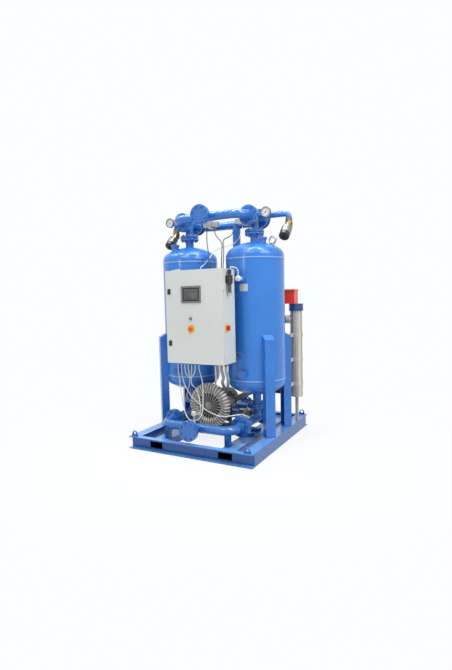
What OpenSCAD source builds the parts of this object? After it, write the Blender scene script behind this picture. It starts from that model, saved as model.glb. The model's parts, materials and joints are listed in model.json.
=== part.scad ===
// Twin-tower desiccant air dryer on a skid, with a blower and a heater for regeneration.
// Millimetres, +Z up, +X to the right, the control cabinet at the front (-Y).
// The origin is on the floor, in the middle of the four anchor holes of the skid.

/* [Skid] */
// Overall width of the skid
skid_w = 1385; // [1360:1:1460]
// Overall depth of the skid
skid_d = 1550; // [1540:1:1700]
// Height of the skid beams
beam_h = 125; // [115:1:140]
// Flange depth of the front and rear channels
channel_flange = 55; // [45:1:60]
// Wall of the front and rear channels
channel_t = 8; // [6:0.5:10]
// Width of the side box beams
side_beam_w = 115; // [100:1:120]
// Wall of the side box beams
side_beam_t = 6; // [4:0.5:10]
// Fork pocket to the middle
fork_x = 390; // [380:1:410]
// Clear width of a fork pocket
fork_w = 150; // [140:1:170]
// Clear height of a fork pocket
fork_h = 68; // [60:1:72]
// Lower edge of a fork pocket
fork_z = 20; // [12:1:24]
// Wall of the fork tubes
fork_t = 5; // [3:0.5:8]
// Distance of the lifting lugs from the middle
lug_x = 635; // [620:1:645]
// Width of a lifting lug at its foot
lug_w = 78; // [66:1:90]
// Height of a lifting lug
lug_h = 58; // [50:1:66]
// Thickness of a lifting lug
lug_t = 12; // [8:0.5:16]
// Radius of the hole in a lifting lug
lug_hole_r = 16; // [12:0.5:17]
// Distance of the anchor holes from the middle
anchor_x = 560; // [520:1:600]
// Radius of the anchor holes
anchor_r = 9; // [6:0.5:12]

/* [Towers] */
// Distance of each tower axis from the side of the skid
tower_inset = 298.5; // [290:0.5:305]
// Depth position of the tower axes
tower_y = 15; // [0:1:25]
// Outer radius of the vessels
vessel_r = 300; // [290:1:305]
// Wall of the vessels
vessel_t = 8; // [5:0.5:12]
// Height of the lower girth seam
lower_seam_z = 676; // [660:1:690]
// Height of the upper girth seam
upper_seam_z = 1901; // [1880:1:1910]
// Straight flange of the dished heads
head_skirt = 25; // [20:1:35]
// Crown radius of the dished heads
crown_r = 480; // [470:1:500]
// Knuckle radius of the dished heads
knuckle_r = 92.4; // [85:0.1:100]
// Width of a tower leg
leg_w = 100; // [80:1:110]
// Distance of a leg's outer face from the tower axis
leg_face = 372; // [360:1:372]
// Plate of the legs
leg_t = 8; // [5:0.5:10]
// Top of a leg at its outer face
leg_top_z = 1097; // [1000:1:1200]
// Rise of the sloped leg cap towards the vessel
leg_cap_rise = 50; // [30:1:70]

/* [Pipework] */
// Outer radius of the main pipes
pipe_r = 44.45; // [42:0.05:46]
// Wall of the main pipes
pipe_t = 3.2; // [2.6:0.1:4]
// Bend radius of the main elbows
elbow_r = 114.3; // [108:0.1:120]
// Radius of the main flanges
flange_r = 100; // [97:0.5:102]
// Thickness of the main flanges
flange_t = 20; // [16:0.5:22]
// Length of a welding-neck flange
flange_len = 45; // [42:0.5:50]
// Bolt circle of the main flanges
flange_pcd = 160; // [158:0.5:162]
// Radius of the stud bolts
stud_r = 8; // [7:0.1:8.5]
// Thickness of the gaskets
gasket_t = 2; // [1.5:0.1:4]
// Centre-to-end length of the tees
tee_c = 86; // [82:0.5:92]
// Height of the lower pipe run
bottom_z = 246; // [238:1:256]
// Height of the upper pipe run
top_z = 2330; // [2315:1:2345]
// Depth position of the bottom front header
bottom_header_y = -590; // [-610:1:-570]
// Depth position of the flange joints behind the bottom header
bottom_joint_y = -385; // [-395:1:-375]
// Height of the flange joints over the towers
top_nozzle_z = 2174; // [2160:1:2184]
// Purge branch radius
purge_r = 30.15; // [27:0.05:31]
// Right purge valve to tower axis
right_purge_out = 374; // [346:1:396]
// Left purge valve to tower axis
left_purge_out = 174; // [166:1:206]
// Purge elbow bend radius
purge_bend_r = 46; // [42:1:60]

/* [Valves and gauges] */
// Face-to-face width of the wafer valves
valve_w = 46; // [43:0.5:50]
// Radius of the wafer valve bodies
valve_r = 69; // [62:0.5:70]
// Valve stem radius
stem_r = 8; // [6:0.1:9]
// Actuator foot to pipe axis
stem_reach = 130; // [120:1:140]
// Length of a valve actuator
actuator_len = 150; // [120:1:180]
// Shuttle travel to each side
shuttle_travel = 20; // [12:1:24]
// Gauge to tower axis
gauge_out = 177; // [161:1:196]
// Radius of the gauges
gauge_r = 50; // [42:0.5:52]
// Depth of a gauge case
gauge_d = 32; // [26:0.5:38]

/* [Cabinet] */
// Width of the cabinet
cabinet_w = 630; // [600:1:650]
// Height of the cabinet
cabinet_h = 900; // [860:1:940]
// Depth of the cabinet with its door
cabinet_d = 250; // [230:1:260]
// Middle of the cabinet, to the right of the skid's middle
cabinet_x = 36; // [20:1:45]
// Front face of the cabinet door
cabinet_front_y = -630; // [-640:1:-620]
// Underside of the cabinet
cabinet_z = 884; // [860:1:900]
// Sheet thickness of the cabinet
sheet_t = 3; // [2:0.1:4]
// Depth of the door pan
door_d = 22; // [18:0.5:26]
// Radius of the hinge pins
hinge_pin_r = 3; // [2:0.1:3.5]
// Width of the operator panel
panel_w = 219; // [200:1:230]
// Height of the operator panel
panel_h = 162; // [150:1:175]
// Radius of the emergency-stop knob
stop_r = 22; // [18:0.5:26]
// Side of the main switch plate
switch_w = 68; // [60:1:74]
// Size of the mounting rails
rail_w = 41; // [35:1:44]

/* [Blower] */
// Height of the blower axis
blower_z = 407; // [400:1:415]
// Front of the blower housing
blower_front_y = -345; // [-350:1:-335]
// Radius of the side channel's centre line
ring_r = 180; // [174:1:184]
// Radius of the side channel casing
channel_r = 46; // [43:0.5:48]
// Wall of the blower casing
casing_t = 6; // [4:0.5:8]
// Height of the casing ribs
rib_h = 9; // [5:0.5:11]
// Number of ribs round the casing
rib_count = 40; // [24:1:44]
// Radius of the motor body
motor_r = 98; // [90:1:102]
// Length of the motor body
motor_len = 300; // [260:1:330]
// Number of motor fins
fin_count = 32; // [20:1:40]

/* [Heater] */
// Distance of the heater axis from the middle
heater_x = 665; // [655:1:675]
// Depth position of the heater axis
heater_y = 495; // [490:1:510]
// Radius of the heater cladding
heater_r = 66; // [60:0.5:70]
// Lower end of the heater
heater_low_z = 400; // [390:1:405]
// Upper end of the cladding
heater_top_z = 1355; // [1340:1:1375]
// Width of the terminal box
box_w = 134; // [120:1:150]
// Height of the terminal box
box_h = 158; // [140:1:175]

/* [Hidden] */
tower_x = skid_w / 2 - tower_inset;
gauge_x = tower_x + gauge_out;
$fn = 64;

// Clearance where a piece seats on a curved face
seat_gap = 0.3;
// Radial running clearance of shafts and stems
run_gap = 0.1;
// Extra length that lets a cut pass a face
over = 1;

BLUE = [0.10, 0.36, 0.72];
GREY = [0.82, 0.83, 0.80];
STEEL = [0.68, 0.69, 0.71];
ALLOY = [0.60, 0.60, 0.58];
DARK = [0.13, 0.13, 0.14];
WHITE = [0.90, 0.90, 0.89];
BRASS = [0.72, 0.58, 0.33];
RED = [0.76, 0.10, 0.08];
YELLOW = [0.94, 0.77, 0.10];
BEAD = [0.86, 0.82, 0.74];

SIDES = [-1, 1];

// Turns that point a piece's own +Z along an axis
TO_X = [0, 90, 0];
TO_NX = [0, -90, 0];
TO_Y = [-90, 0, 0];
TO_NY = [90, 0, 0];
TO_Z = [0, 0, 0];
TO_NZ = [180, 0, 0];

// Skid
web_y = skid_d / 2 - channel_flange;
bay_len = 2 * (web_y - channel_t);
fork_top_z = fork_z + fork_h + fork_t;
flange_mid_y = skid_d / 2 - channel_flange / 2;
lug_tip_r = lug_hole_r + 9;

// Header posts and blower cross bars
post_w = 50;
post_x = tower_x - 49;
post_turn = asin((post_x - tower_x + elbow_r) / elbow_r);
post_y = bottom_header_y + elbow_r * (1 - cos(post_turn));
post_top_z = bottom_z - pipe_r - seat_gap;
bar_w = 60;
bar_h = 40;
bar_t = 4;
bar_len = 2 * (fork_x + 40);
bar_top_z = fork_top_z + bar_h;

// Vessels
low_tangent_z = lower_seam_z - head_skirt;
high_tangent_z = upper_seam_z + head_skirt;
head_rise = crown_r - sqrt(pow(crown_r - knuckle_r, 2) - pow(vessel_r - knuckle_r, 2));
vessel_low_z = low_tangent_z - head_rise;
vessel_high_z = high_tangent_z + head_rise;
vessel_front_y = tower_y - vessel_r;
seam_w = 12;
seam_h = 3;
screen_z = lower_seam_z + 12;
screen_t = 10;
screen_hole_r = 14;
bed_gap = 0.5;
bed_top_z = upper_seam_z - 40;
leg_in = vessel_r - 12;
leg_angles = [-45, 45];

// Fill neck, drain neck, sensor boss and lifting eye of each vessel
fill_at = [[-70, -185], [136, -111]];
fill_r = 38;
fill_neck_h = 34;
function fill_spot(side) = fill_at[side > 0 ? 1 : 0];
function fill_z(side) = dome_z(norm(fill_spot(side))) + fill_neck_h;
drain_z = lower_seam_z + 78;
drain_r = 30;
drain_len = 45;
neck_t = 5;
cap_over = 8;
cap_h = 22;
boss_z = upper_seam_z - 207;
boss_r = 34;
boss_len = 28;
eye_at = 200;
eye_r = 34;
eye_bar_r = 10;
eye_foot_h = 14;
eye_z = dome_z(eye_at);

// Pipework
bore_r = pipe_r - pipe_t;
branch_bore_r = bore_r - 0.4;
tee_r = pipe_r + 2;
branch_r = pipe_r + 1;
raised_r = flange_pcd / 2 - 11;
raised_h = 2;
bolt_hole_r = stud_r + 1;
bolt_count = 8;
nut_h = 13;
nut_r = stud_r * 1.73;
stud_end = 5;
tee_reach = tee_c + flange_len;
exhaust_run = 26;
exhaust_x = 24;
exhaust_reach = tee_reach + exhaust_run;
top_joint_y = tower_y - tee_reach - gasket_t / 2;
top_header_y = top_joint_y - gasket_t / 2 - flange_len - elbow_r;
valve_y = tower_y + tee_reach + valve_w / 2;
rear_header_y = valve_y + valve_w / 2 + flange_len + elbow_r;
bottom_nozzle_z = bottom_z + tee_reach + gasket_t / 2;
bottom_blind_y = bottom_header_y - tee_reach - gasket_t / 2;
top_blind_y = top_header_y - tee_reach - gasket_t / 2;
riser_x = 20;
purge_t = 2.9;
purge_drop = 6;
purge_valve_z = top_z - purge_bend_r - purge_drop;
purge_reach = [tower_x + left_purge_out, tower_x + right_purge_out];

// Flange joints: middle, direction of the axis and distance between the flange faces
gasket_joints = [
  for (s = SIDES) each [
    [[s * tower_x, bottom_joint_y, bottom_z], TO_Y],
    [[s * tower_x, top_joint_y, top_z], TO_Y],
    [[s * tower_x, tower_y, bottom_nozzle_z], TO_Z],
    [[s * tower_x, tower_y, top_nozzle_z], TO_Z],
  ],
  [[0, bottom_blind_y, bottom_z], TO_Y],
  [[0, top_blind_y, top_z], TO_Y],
];
valve_joints = [
  for (s = SIDES) each [
    [[s * tower_x, valve_y, bottom_z], TO_Y],
    [[s * tower_x, valve_y, top_z], TO_Y],
  ],
];

// Header shuttles
seat_t = 8;
seat_x = 100;
seat_r = bore_r - 10;
poppet_r = bore_r - 4.5;
poppet_t = 6;
poppet_x = seat_x - seat_t / 2 - shuttle_travel - seat_gap;
vane_t = 3;
vane_len = 24;
shuttle_rod_r = 7;

// Butterfly valves
valve_bore_r = bore_r - 1;
disc_r = valve_bore_r - run_gap;
disc_t = 12;
neck_r = 17;
pad_w = 54;
pad_t = 10;
actuator_h = 90;
indicator = [64, 60, 52];
actuator_w = 74;
stem_seat = 24;

// Angle-seat purge valves
purge_body_len = 92;
purge_body_r = 36;
purge_tilt = 45;
purge_arm = 66;
purge_arm_r = 28;
purge_act_r = 52;
purge_act_len = 96;
purge_cap_len = 48;
purge_mid_z = purge_valve_z - purge_body_len / 2;

// Gauges
gauge_z = top_z + 16;
gauge_feed_y = tower_y - tee_c + 16;
gauge_feed_r = 8;
gauge_block = 26;
gauge_stem_len = 12;
gauge_front_y = gauge_feed_y - gauge_block / 2 - gauge_stem_len - gauge_d;
gauge_rim = 5;
dial_depth = 9;
pointer_pin_r = 1.5;
pointer_t = 1.2;
pointer_len = gauge_r - gauge_rim - 6;
pointer_turn = 135;

// Cabinet
cabinet_left = cabinet_x - cabinet_w / 2;
cabinet_right = cabinet_x + cabinet_w / 2;
cabinet_top_z = cabinet_z + cabinet_h;
cabinet_back_y = cabinet_front_y + cabinet_d;
door_gap = 3;
door_back_y = cabinet_front_y + door_d;
box_front_y = door_back_y + door_gap;
rim_w = 18;
hinge_y = box_front_y - 8;
hinge_r = hinge_pin_r + 2.5;
hinge_off = hinge_r + 1;
hinge_x = cabinet_right + hinge_off;
hinge_len = 30;
hinge_z = [cabinet_z + 110, cabinet_top_z - 170];
panel_x = cabinet_x - 22;
panel_z = cabinet_top_z - 234;
panel_t = 7;
panel_back = 34;
control_x = cabinet_x - 31;
button_z = cabinet_top_z - 465;
button_r = 11;
button_rim_r = 15;
button_travel = 4;
stop_z = cabinet_top_z - 564;
stop_neck_r = 11;
stop_travel = 6;
lock_x = cabinet_left + 40;
lock_z = [cabinet_z + 195, cabinet_top_z - 202];
lock_r = 11;
lock_rim_r = 15;
cam_w = 14;
cam_len = 34;
cam_t = 3;
switch_y = cabinet_front_y + 78;
switch_z = cabinet_top_z - 555;
switch_t = 4;
switch_knob_r = 23;
switch_knob_h = 12;
switch_shaft_r = 5;
plate_t = 3;
plate_margin = 32;
spacer_len = 14;
spacer_r = 7;
plate_front_y = cabinet_back_y - sheet_t - spacer_len - plate_t;
plate_w = cabinet_w - 2 * plate_margin;
plate_h = cabinet_h - 2 * plate_margin;
gland_y = cabinet_front_y + 120;
gland_xs = [-243, -201, -160, -119, -78, -37, 7, 195];
conduit_xs = [262, 310];
gland_r = 13;
conduit_gland_r = 22;
gland_h = 26;
gland_hex_h = 9;
rail_t = 2.5;
rail_len = 2 * (tower_x - 38);
rail_zs = [cabinet_z + 66, cabinet_top_z - 64];
standoff_w = 60;
rail_back_y = cabinet_back_y + rail_w;

// Filter regulator on the cabinet's right side
filter_y = cabinet_front_y + 96;
filter_top_z = cabinet_top_z - 10;
filter_bracket_t = 8;
filter_r = 19;
filter_x = cabinet_right + filter_bracket_t + filter_r + 3;
filter_knob_h = 52;
filter_body_h = 76;
filter_bowl_h = 118;
knob_neck_r = 12;

// Blower, along its own axis from the front of the casing
ring_z = channel_r + 3;
casing_low = ring_z - 20;
casing_high = ring_z + 24;
channel_in_r = channel_r - casing_t;
hub_r = 38;
inner_rib_count = 24;
rib_turn = 2.6;
rotor_shaft_r = 14;
impeller_r = ring_r + 20;
impeller_t = 12;
blade_count = 20;
blade_t = 4;
adapter_len = 26;
motor_start = casing_high + adapter_len;
motor_end = motor_start + motor_len;
fin_h = 10;
fin_t = 3;
cowl_len = 84;
cowl_t = 3;
cowl_r = motor_r + fin_h + 2;
cowl_grip = 14;
fan_r = motor_r - 10;
fan_hub_r = 30;
shaft_end = motor_end + 48;
port_x = 177;
port_z = 440;
port_r = 38;
port_len = 150;
intake_len = 90;
motor_foot_w = 170;
motor_foot_d = 60;
bar_ys = [for (d = [motor_start + 60, motor_end - 60]) blower_front_y + d];

// Heater
stub_reach = heater_r + 44;
heater_wall = 5;
heater_flange_r = heater_r + 12;
heater_flange_t = 36;
heater_lid_z = heater_top_z + heater_flange_t + gasket_t;
heater_lid_t = 42;
blower_pipe_r = purge_r;
outlet_z = heater_top_z - 95;
outlet_run = norm([heater_x - riser_x, heater_y - rear_header_y]);
outlet_turn = atan2(heater_y - rear_header_y, heater_x - riser_x);
rod_r = 6;
rod_ring_r = 34;
rod_count = 6;
rod_low_z = heater_low_z + 110;
terminal_box_d = 120;
terminal_box_shift = -66;
bracket_zs = [heater_low_z + 130, heater_low_z + 400, heater_low_z + 670];
bracket_h = 40;
bracket_t = 8;
bracket_x = heater_x - 15;
band_t = 5;
heater_leg_w = 30;

// Sensors and cables; a route is a few points that a smooth curve passes through
sensor_r = 26;
sensor_x = -16;
signal_r = 5;
feed_r = 7;
conduit_r = 15;
valve_cable_r = 5;
tube_r = 4;
gland_end_z = cabinet_z - gland_h;
plug_x = tower_x - 169;
signal_routes = [
  [[-243, -510, gland_end_z], [-243, -510, 815], [-205, -540, 679], [-167, -575, 572], [-115, -620, 447],
   [-67, -648, 375], [-20, -657, 336], [50, -657, 340], [97, -645, 383], [100, -610, 458], [67, -545, 661],
   [33, -520, 753], [7, -510, 815], [7, -510, gland_end_z]],
  [[-201, -510, gland_end_z], [-201, -510, 815], [-184, -515, 708], [-145, -530, 635], [-56, -560, 547],
   [67, -575, 464], [132, -585, 428], [274, -600, 391], [384, -560, 397], [460, -490, 400],
   [500, -420, 362],
   [440, -320, 318], [370, -250, 308], [310, -150, 300], [270, -40, 300], [240, 60, 306], [plug_x, 130, 322],
   [plug_x, 130, 283]],
  [[-160, -510, gland_end_z], [-160, -510, 815], [-135, -522, 757], [-82, -532, 729], [-48, -524, 760],
   [-37, -510, 815], [-37, -510, gland_end_z]],
  [[-78, -510, gland_end_z], [-78, -510, 815], [-91, -505, 700], [-70, -515, 645], [-10, -540, 622],
   [44, -582, 537], [68, -602, 462], [64, -596, 415], [38, -590, 385], [10, -590, 385]],
  [[-119, -510, gland_end_z], [-119, -510, 815], [-122, -480, 700], [-178, -420, 600], [-262, -330, 480],
   [-256, -200, 360], [-240, -40, 310], [-228, 80, 318], [-plug_x, 130, 322], [-plug_x, 130, 283]],
  [[tower_x, -380, 1720], [tower_x, -380, 1768], [380, -388, 1792], [352, -398, 1803], [322, -400, 1803],
   [322, -400, 1784]],
  [[-tower_x, -380, 1720], [-tower_x, -380, 1768], [-376, -390, 1796], [-310, -400, 1806], [-262, -400, 1804],
   [-262, -400, 1784]],
];
feed_route = [[195, -510, gland_end_z], [195, -510, 815], [184, -485, 740], [155, -440, 696],
  [112, -350, 676], [70, -280, 672], [36, -234, 640], [20, -230, 570], [20, -226, 525], [20, -196, 525]];
tube_route = [[plug_x - 15, 118, 2293], [plug_x - 15, 118, 2262], [214, 60, 2170], [190, 10, 2100],
  [120, 0, 2062], [40, -60, 2040], [22, -160, 2000], [14, -240, 1934], [2, -330, 1860], [-8, -404, 1816],
  [-8, -404, 1784]];
conduit_routes = [
  [[262, -510, gland_end_z], [262, -510, 815], [240, -440, 745], [200, -370, 700], [150, -290, 668],
   [114, -224, 626], [116, -180, 556], [98, -172, 521], [60, -172, 521]],
  [[310, -510, gland_end_z], [310, -510, 815], [285, -430, 735], [245, -350, 680], [195, -260, 640],
   [142, -168, 582], [100, -108, 521], [60, -108, 521]],
];
valve_routes = [
  [[-plug_x - 11, 130, 2293], [-plug_x - 11, 130, 2262], [-165, 0, 2160], [-70, -150, 2035],
   [-2, -250, 1956], [64, -370, 1846], [98, -412, 1812], [98, -412, 1784]],
  [[75 - plug_x, 140, 2304], [75 - plug_x, 140, 2274], [-60, 20, 2180], [70, -100, 2085], [130, -210, 1990],
   [190, -330, 1880], [230, -410, 1812], [230, -410, 1784]],
  [[plug_x - 105, 140, 2304], [plug_x - 105, 140, 2274], [116, 10, 2160], [94, -100, 2112], [150, -206, 2002],
   [210, -326, 1886], [248, -410, 1812], [248, -410, 1784]],
];

// Height of the upper head's outside at a distance from the tower axis
function dome_z(distance) = high_tangent_z + head_rise - crown_r + sqrt(pow(crown_r, 2) - pow(distance, 2));

// Swept tubes: rings of points square to the path, joined by quads
function unit(v) = v / norm(v);
function heading(path, i) = unit(path[min(i + 1, len(path) - 1)] - path[max(i - 1, 0)]);
function side_of(direction) =
  unit(cross(direction, abs(direction[2]) > 0.8 ? [1, 0, 0] : [0, 0, 1]));
function carried_side(path, i, side) =
  let (direction = heading(path, i)) unit(side - (side * direction) * direction);
function ring_sides(path, i = 0, side = undef) =
  let (here = i == 0 ? side_of(heading(path, 0)) : carried_side(path, i, side))
  i == len(path) - 1 ? [here] : concat([here], ring_sides(path, i + 1, here));

// A curve through the route, with one more point on each stretch
function smooth(path) = [
  for (i = [0 : len(path) - 2]) each [path[i], halfway(path, i)],
  path[len(path) - 1],
];
function halfway(path, i) =
  i == 0 || i == len(path) - 2 ? (path[i] + path[i + 1]) / 2
  : (9 * (path[i] + path[i + 1]) - path[i - 1] - path[i + 2]) / 16;

module swept_tube(path, r, sides = 8) {
  directions = ring_sides(path);
  rings = [
    for (i = [0 : len(path) - 1])
      let (u = directions[i], v = cross(heading(path, i), u))
      for (k = [0 : sides - 1])
        let (a = 360 * k / sides)
        path[i] + r * (cos(a) * u + sin(a) * v)
  ];
  last = (len(path) - 1) * sides;
  walls = [
    for (i = [0 : len(path) - 2], k = [0 : sides - 1])
      let (n = (k + 1) % sides)
      [i * sides + k, (i + 1) * sides + k, (i + 1) * sides + n, i * sides + n]
  ];
  start_cap = [for (k = [0 : sides - 1]) k];
  end_cap = [for (k = [sides - 1 : -1 : 0]) last + k];
  polyhedron(rings, concat(walls, [start_cap, end_cap]), convexity = 6);
}

module aim(place, turn) {
  translate(place) rotate(turn) children();
}

// A box tube along Y, open at both ends
module box_tube(w, len_y, h, wall) {
  difference() {
    cube([w, len_y, h], center = true);
    cube([w - 2 * wall, len_y + 2 * over, h - 2 * wall], center = true);
  }
}

// Skid

module channel_beam() {
  difference() {
    union() {
      translate([-skid_w / 2, -web_y, 0]) cube([skid_w, channel_t, beam_h]);
      for (z = [0, beam_h - channel_t])
        translate([-skid_w / 2, -skid_d / 2, z])
          cube([skid_w, channel_flange + channel_t, channel_t]);
    }
    for (s = SIDES) {
      translate([s * fork_x - fork_w / 2, -web_y - over, fork_z])
        cube([fork_w, channel_t + 2 * over, fork_h]);
      translate([s * anchor_x, -flange_mid_y, -over])
        cylinder(r = anchor_r, h = channel_t + 2 * over);
    }
  }
}

module end_beams() {
  color(BLUE)
    for (d = SIDES) mirror([0, d > 0 ? 1 : 0, 0]) channel_beam();
}

module side_beams() {
  color(BLUE)
    for (s = SIDES)
      translate([s * (skid_w - side_beam_w) / 2, 0, beam_h / 2])
        box_tube(side_beam_w, bay_len, beam_h, side_beam_t);
}

module fork_tubes() {
  color(BLUE)
    for (s = SIDES)
      translate([s * fork_x, 0, fork_z + fork_h / 2])
        box_tube(fork_w + 2 * fork_t, bay_len, fork_h + 2 * fork_t, fork_t);
}

// A lug is a rounded tip with straight flanks running out to its foot
module lug_outline() {
  tip = [0, lug_h - lug_tip_r];
  foot = [lug_w / 2, 0];
  to_tip = tip - foot;
  flank = asin(lug_tip_r / norm(to_tip));
  lean = atan2(to_tip[1], to_tip[0]) - flank;
  reach = norm(to_tip) * cos(flank);
  touch = foot + reach * [cos(lean), sin(lean)];
  difference() {
    union() {
      polygon([[-foot[0], 0], foot, touch, [-touch[0], touch[1]]]);
      translate(tip) circle(lug_tip_r);
    }
    translate(tip) circle(lug_hole_r);
  }
}

module lifting_lugs() {
  color(BLUE)
    for (s = SIDES, d = SIDES)
      translate([s * lug_x, d * flange_mid_y + lug_t / 2, beam_h])
        rotate([90, 0, 0]) linear_extrude(lug_t) lug_outline();
}

module skid_brackets() {
  color(BLUE) {
    for (s = SIDES)
      translate([s * post_x - post_w / 2, post_y - post_w / 2, fork_top_z])
        cube([post_w, post_w, post_top_z - fork_top_z]);
    for (y = bar_ys)
      translate([0, y, fork_top_z + bar_h / 2])
        rotate([0, 0, 90]) box_tube(bar_w, bar_len, bar_h, bar_t);
  }
}

// Vessels

// Half outline of a dished head over its tangent line: a crown arc and a knuckle arc
module head_outline(inset) {
  knee = [vessel_r - knuckle_r, 0];
  centre = [0, head_rise - crown_r];
  reach = 2 * crown_r;
  intersection() {
    square([vessel_r - inset, crown_r]);
    union() {
      translate(knee) circle(knuckle_r - inset);
      intersection() {
        translate(centre) circle(crown_r - inset, $fn = 128);
        polygon([centre, centre + [0, reach], centre + reach * unit(knee - centre)]);
      }
    }
  }
}

module vessel_form(inset) {
  rotate_extrude() {
    translate([0, low_tangent_z]) square([vessel_r - inset, high_tangent_z - low_tangent_z]);
    translate([0, high_tangent_z]) head_outline(inset);
    translate([0, low_tangent_z]) mirror([0, 1]) head_outline(inset);
  }
}

// A welding-neck flange with its face at its own zero, the pipe below it
module neck_flange() {
  difference() {
    union() {
      translate([0, 0, -flange_t]) cylinder(r = flange_r, h = flange_t - raised_h);
      translate([0, 0, -flange_t]) cylinder(r = raised_r, h = flange_t);
      translate([0, 0, -flange_len])
        cylinder(r1 = pipe_r, r2 = pipe_r + 10, h = flange_len - flange_t);
    }
    bolt_holes();
  }
}

module bolt_holes() {
  for (i = [0 : bolt_count - 1])
    rotate(360 * (i + 0.5) / bolt_count)
      translate([flange_pcd / 2, 0, -flange_t - over])
        cylinder(r = bolt_hole_r, h = flange_t + 2 * over);
}

module support_screen() {
  translate([0, 0, screen_z])
    difference() {
      cylinder(r = vessel_r - vessel_t + over, h = screen_t);
      for (ring = [1 : 3], i = [0 : 6 * ring - 1])
        rotate(60 * i / ring)
          translate([ring * vessel_r * 0.27, 0, -over])
            cylinder(r = screen_hole_r, h = screen_t + 2 * over);
    }
}

// One vessel about its own axis; side is 1 for the right tower and -1 for the left
module vessel(side) {
  top_face = top_nozzle_z - gasket_t / 2;
  low_face = bottom_nozzle_z + gasket_t / 2;
  fill_place = [each fill_spot(side), vessel_high_z - head_rise];
  translate([side * tower_x, tower_y, 0]) {
    difference() {
      union() {
        vessel_form(0);
        for (z = [lower_seam_z, upper_seam_z])
          translate([0, 0, z - seam_w / 2]) cylinder(r = vessel_r + seam_h, h = seam_w);
        translate([0, 0, low_tangent_z])
          cylinder(r = pipe_r, h = top_face - flange_t - low_tangent_z);
        translate([0, 0, low_face + flange_t])
          cylinder(r = pipe_r, h = low_tangent_z - low_face - flange_t);
        aim([0, 0, top_face], TO_Z) neck_flange();
        aim([0, 0, low_face], TO_NZ) neck_flange();
        translate(fill_place) cylinder(r = fill_r, h = fill_z(side) - fill_place[2]);
        aim([0, over - vessel_r, drain_z], TO_NY) cylinder(r = drain_r, h = drain_len + over);
        aim([0, over - vessel_r, boss_z], TO_NY) cylinder(r = boss_r, h = boss_len + over);
      }
      vessel_form(vessel_t);
      translate([0, 0, low_face - over]) cylinder(r = bore_r, h = top_face - low_face + 2 * over);
      translate(fill_place) cylinder(r = fill_r - neck_t, h = fill_z(side) - fill_place[2] + over);
      aim([0, 2 * vessel_t - vessel_r, drain_z], TO_NY)
        cylinder(r = drain_r - neck_t, h = drain_len + 2 * vessel_t + over);
    }
    support_screen();
  }
}

module left_vessel() {
  color(BLUE) vessel(-1);
}

module right_vessel() {
  color(BLUE) vessel(1);
}

// A leg is a folded channel with a base plate and a sloped cap, open towards the vessel
module leg() {
  slope = leg_cap_rise / (leg_face - leg_in);
  function cap_z(x) = leg_top_z + slope * (leg_face - x);
  difference() {
    translate([0, leg_w / 2, 0])
      rotate([90, 0, 0])
        linear_extrude(leg_w)
          polygon([[leg_in, beam_h], [leg_face, beam_h], [leg_face, leg_top_z], [leg_in, cap_z(leg_in)]]);
    translate([0, leg_w / 2 - leg_t, 0])
      rotate([90, 0, 0])
        linear_extrude(leg_w - 2 * leg_t)
          polygon([
            [leg_in - over, beam_h + leg_t],
            [leg_face - leg_t, beam_h + leg_t],
            [leg_face - leg_t, cap_z(leg_face - leg_t) - leg_t],
            [leg_in - over, cap_z(leg_in - over) - leg_t],
          ]);
    vessel_form(-seat_gap);
    translate([0, 0, lower_seam_z - seam_w / 2 - seat_gap])
      cylinder(r = vessel_r + seam_h + seat_gap, h = seam_w + 2 * seat_gap);
  }
}

module vessel_legs() {
  color(BLUE)
    for (s = SIDES, a = leg_angles)
      translate([s * tower_x, tower_y, 0]) rotate(s > 0 ? a : 180 - a) leg();
}

module desiccant_beds() {
  bed_low_z = screen_z + screen_t;
  color(BEAD)
    for (s = SIDES)
      translate([s * tower_x, tower_y, bed_low_z])
        cylinder(r = vessel_r - vessel_t - bed_gap, h = bed_top_z - bed_low_z);
}

// A screw cap with its face at zero and its plug inside the neck
module neck_cap(r) {
  plug_len = cap_h - 4;
  cylinder(r = r + cap_over, h = cap_h);
  translate([0, 0, cap_h]) cylinder(r = r * 0.62, h = cap_over, $fn = 6);
  translate([0, 0, -plug_len]) cylinder(r = r - neck_t - seat_gap, h = plug_len + over);
}

module vessel_caps() {
  color(BLUE)
    for (s = SIDES) {
      aim([s * tower_x + fill_spot(s)[0], tower_y + fill_spot(s)[1], fill_z(s)], TO_Z) neck_cap(fill_r);
      aim([s * tower_x, vessel_front_y - drain_len, drain_z], TO_NY) neck_cap(drain_r);
    }
}

module lifting_eyes() {
  color(WHITE)
    for (s = SIDES)
      translate([s * tower_x, tower_y, 0])
        difference() {
          translate([s * eye_at, 0, eye_z]) {
            translate([0, 0, -eye_foot_h]) cylinder(r = eye_bar_r * 2, h = 2 * eye_foot_h);
            translate([0, 0, eye_foot_h + eye_r])
              rotate([90, 0, 0]) rotate_extrude() translate([eye_r, 0]) circle(eye_bar_r);
          }
          vessel_form(-seat_gap);
        }
}

// Pipework

// A quarter bend from the origin, heading along +X and turning towards +Y
module bend(r, bend_r) {
  translate([0, bend_r, 0]) rotate(-90) rotate_extrude(angle = 90) translate([bend_r, 0]) circle(r);
}

// A front header: a run along X, bends back to the towers' joints and a branch to the front
module header_run(r, branch, half_run, joint_reach, branch_reach, extra) {
  aim([-half_run, 0, 0], TO_X) cylinder(r = r, h = 2 * half_run);
  for (s = SIDES)
    mirror([s > 0 ? 0 : 1, 0, 0])
      translate([half_run, 0, 0]) {
        bend(r, elbow_r);
        aim([elbow_r, elbow_r, 0], TO_Y) cylinder(r = r, h = joint_reach - elbow_r + extra);
      }
  aim([0, 0, 0], TO_NY) cylinder(r = branch, h = branch_reach + extra);
}

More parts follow.
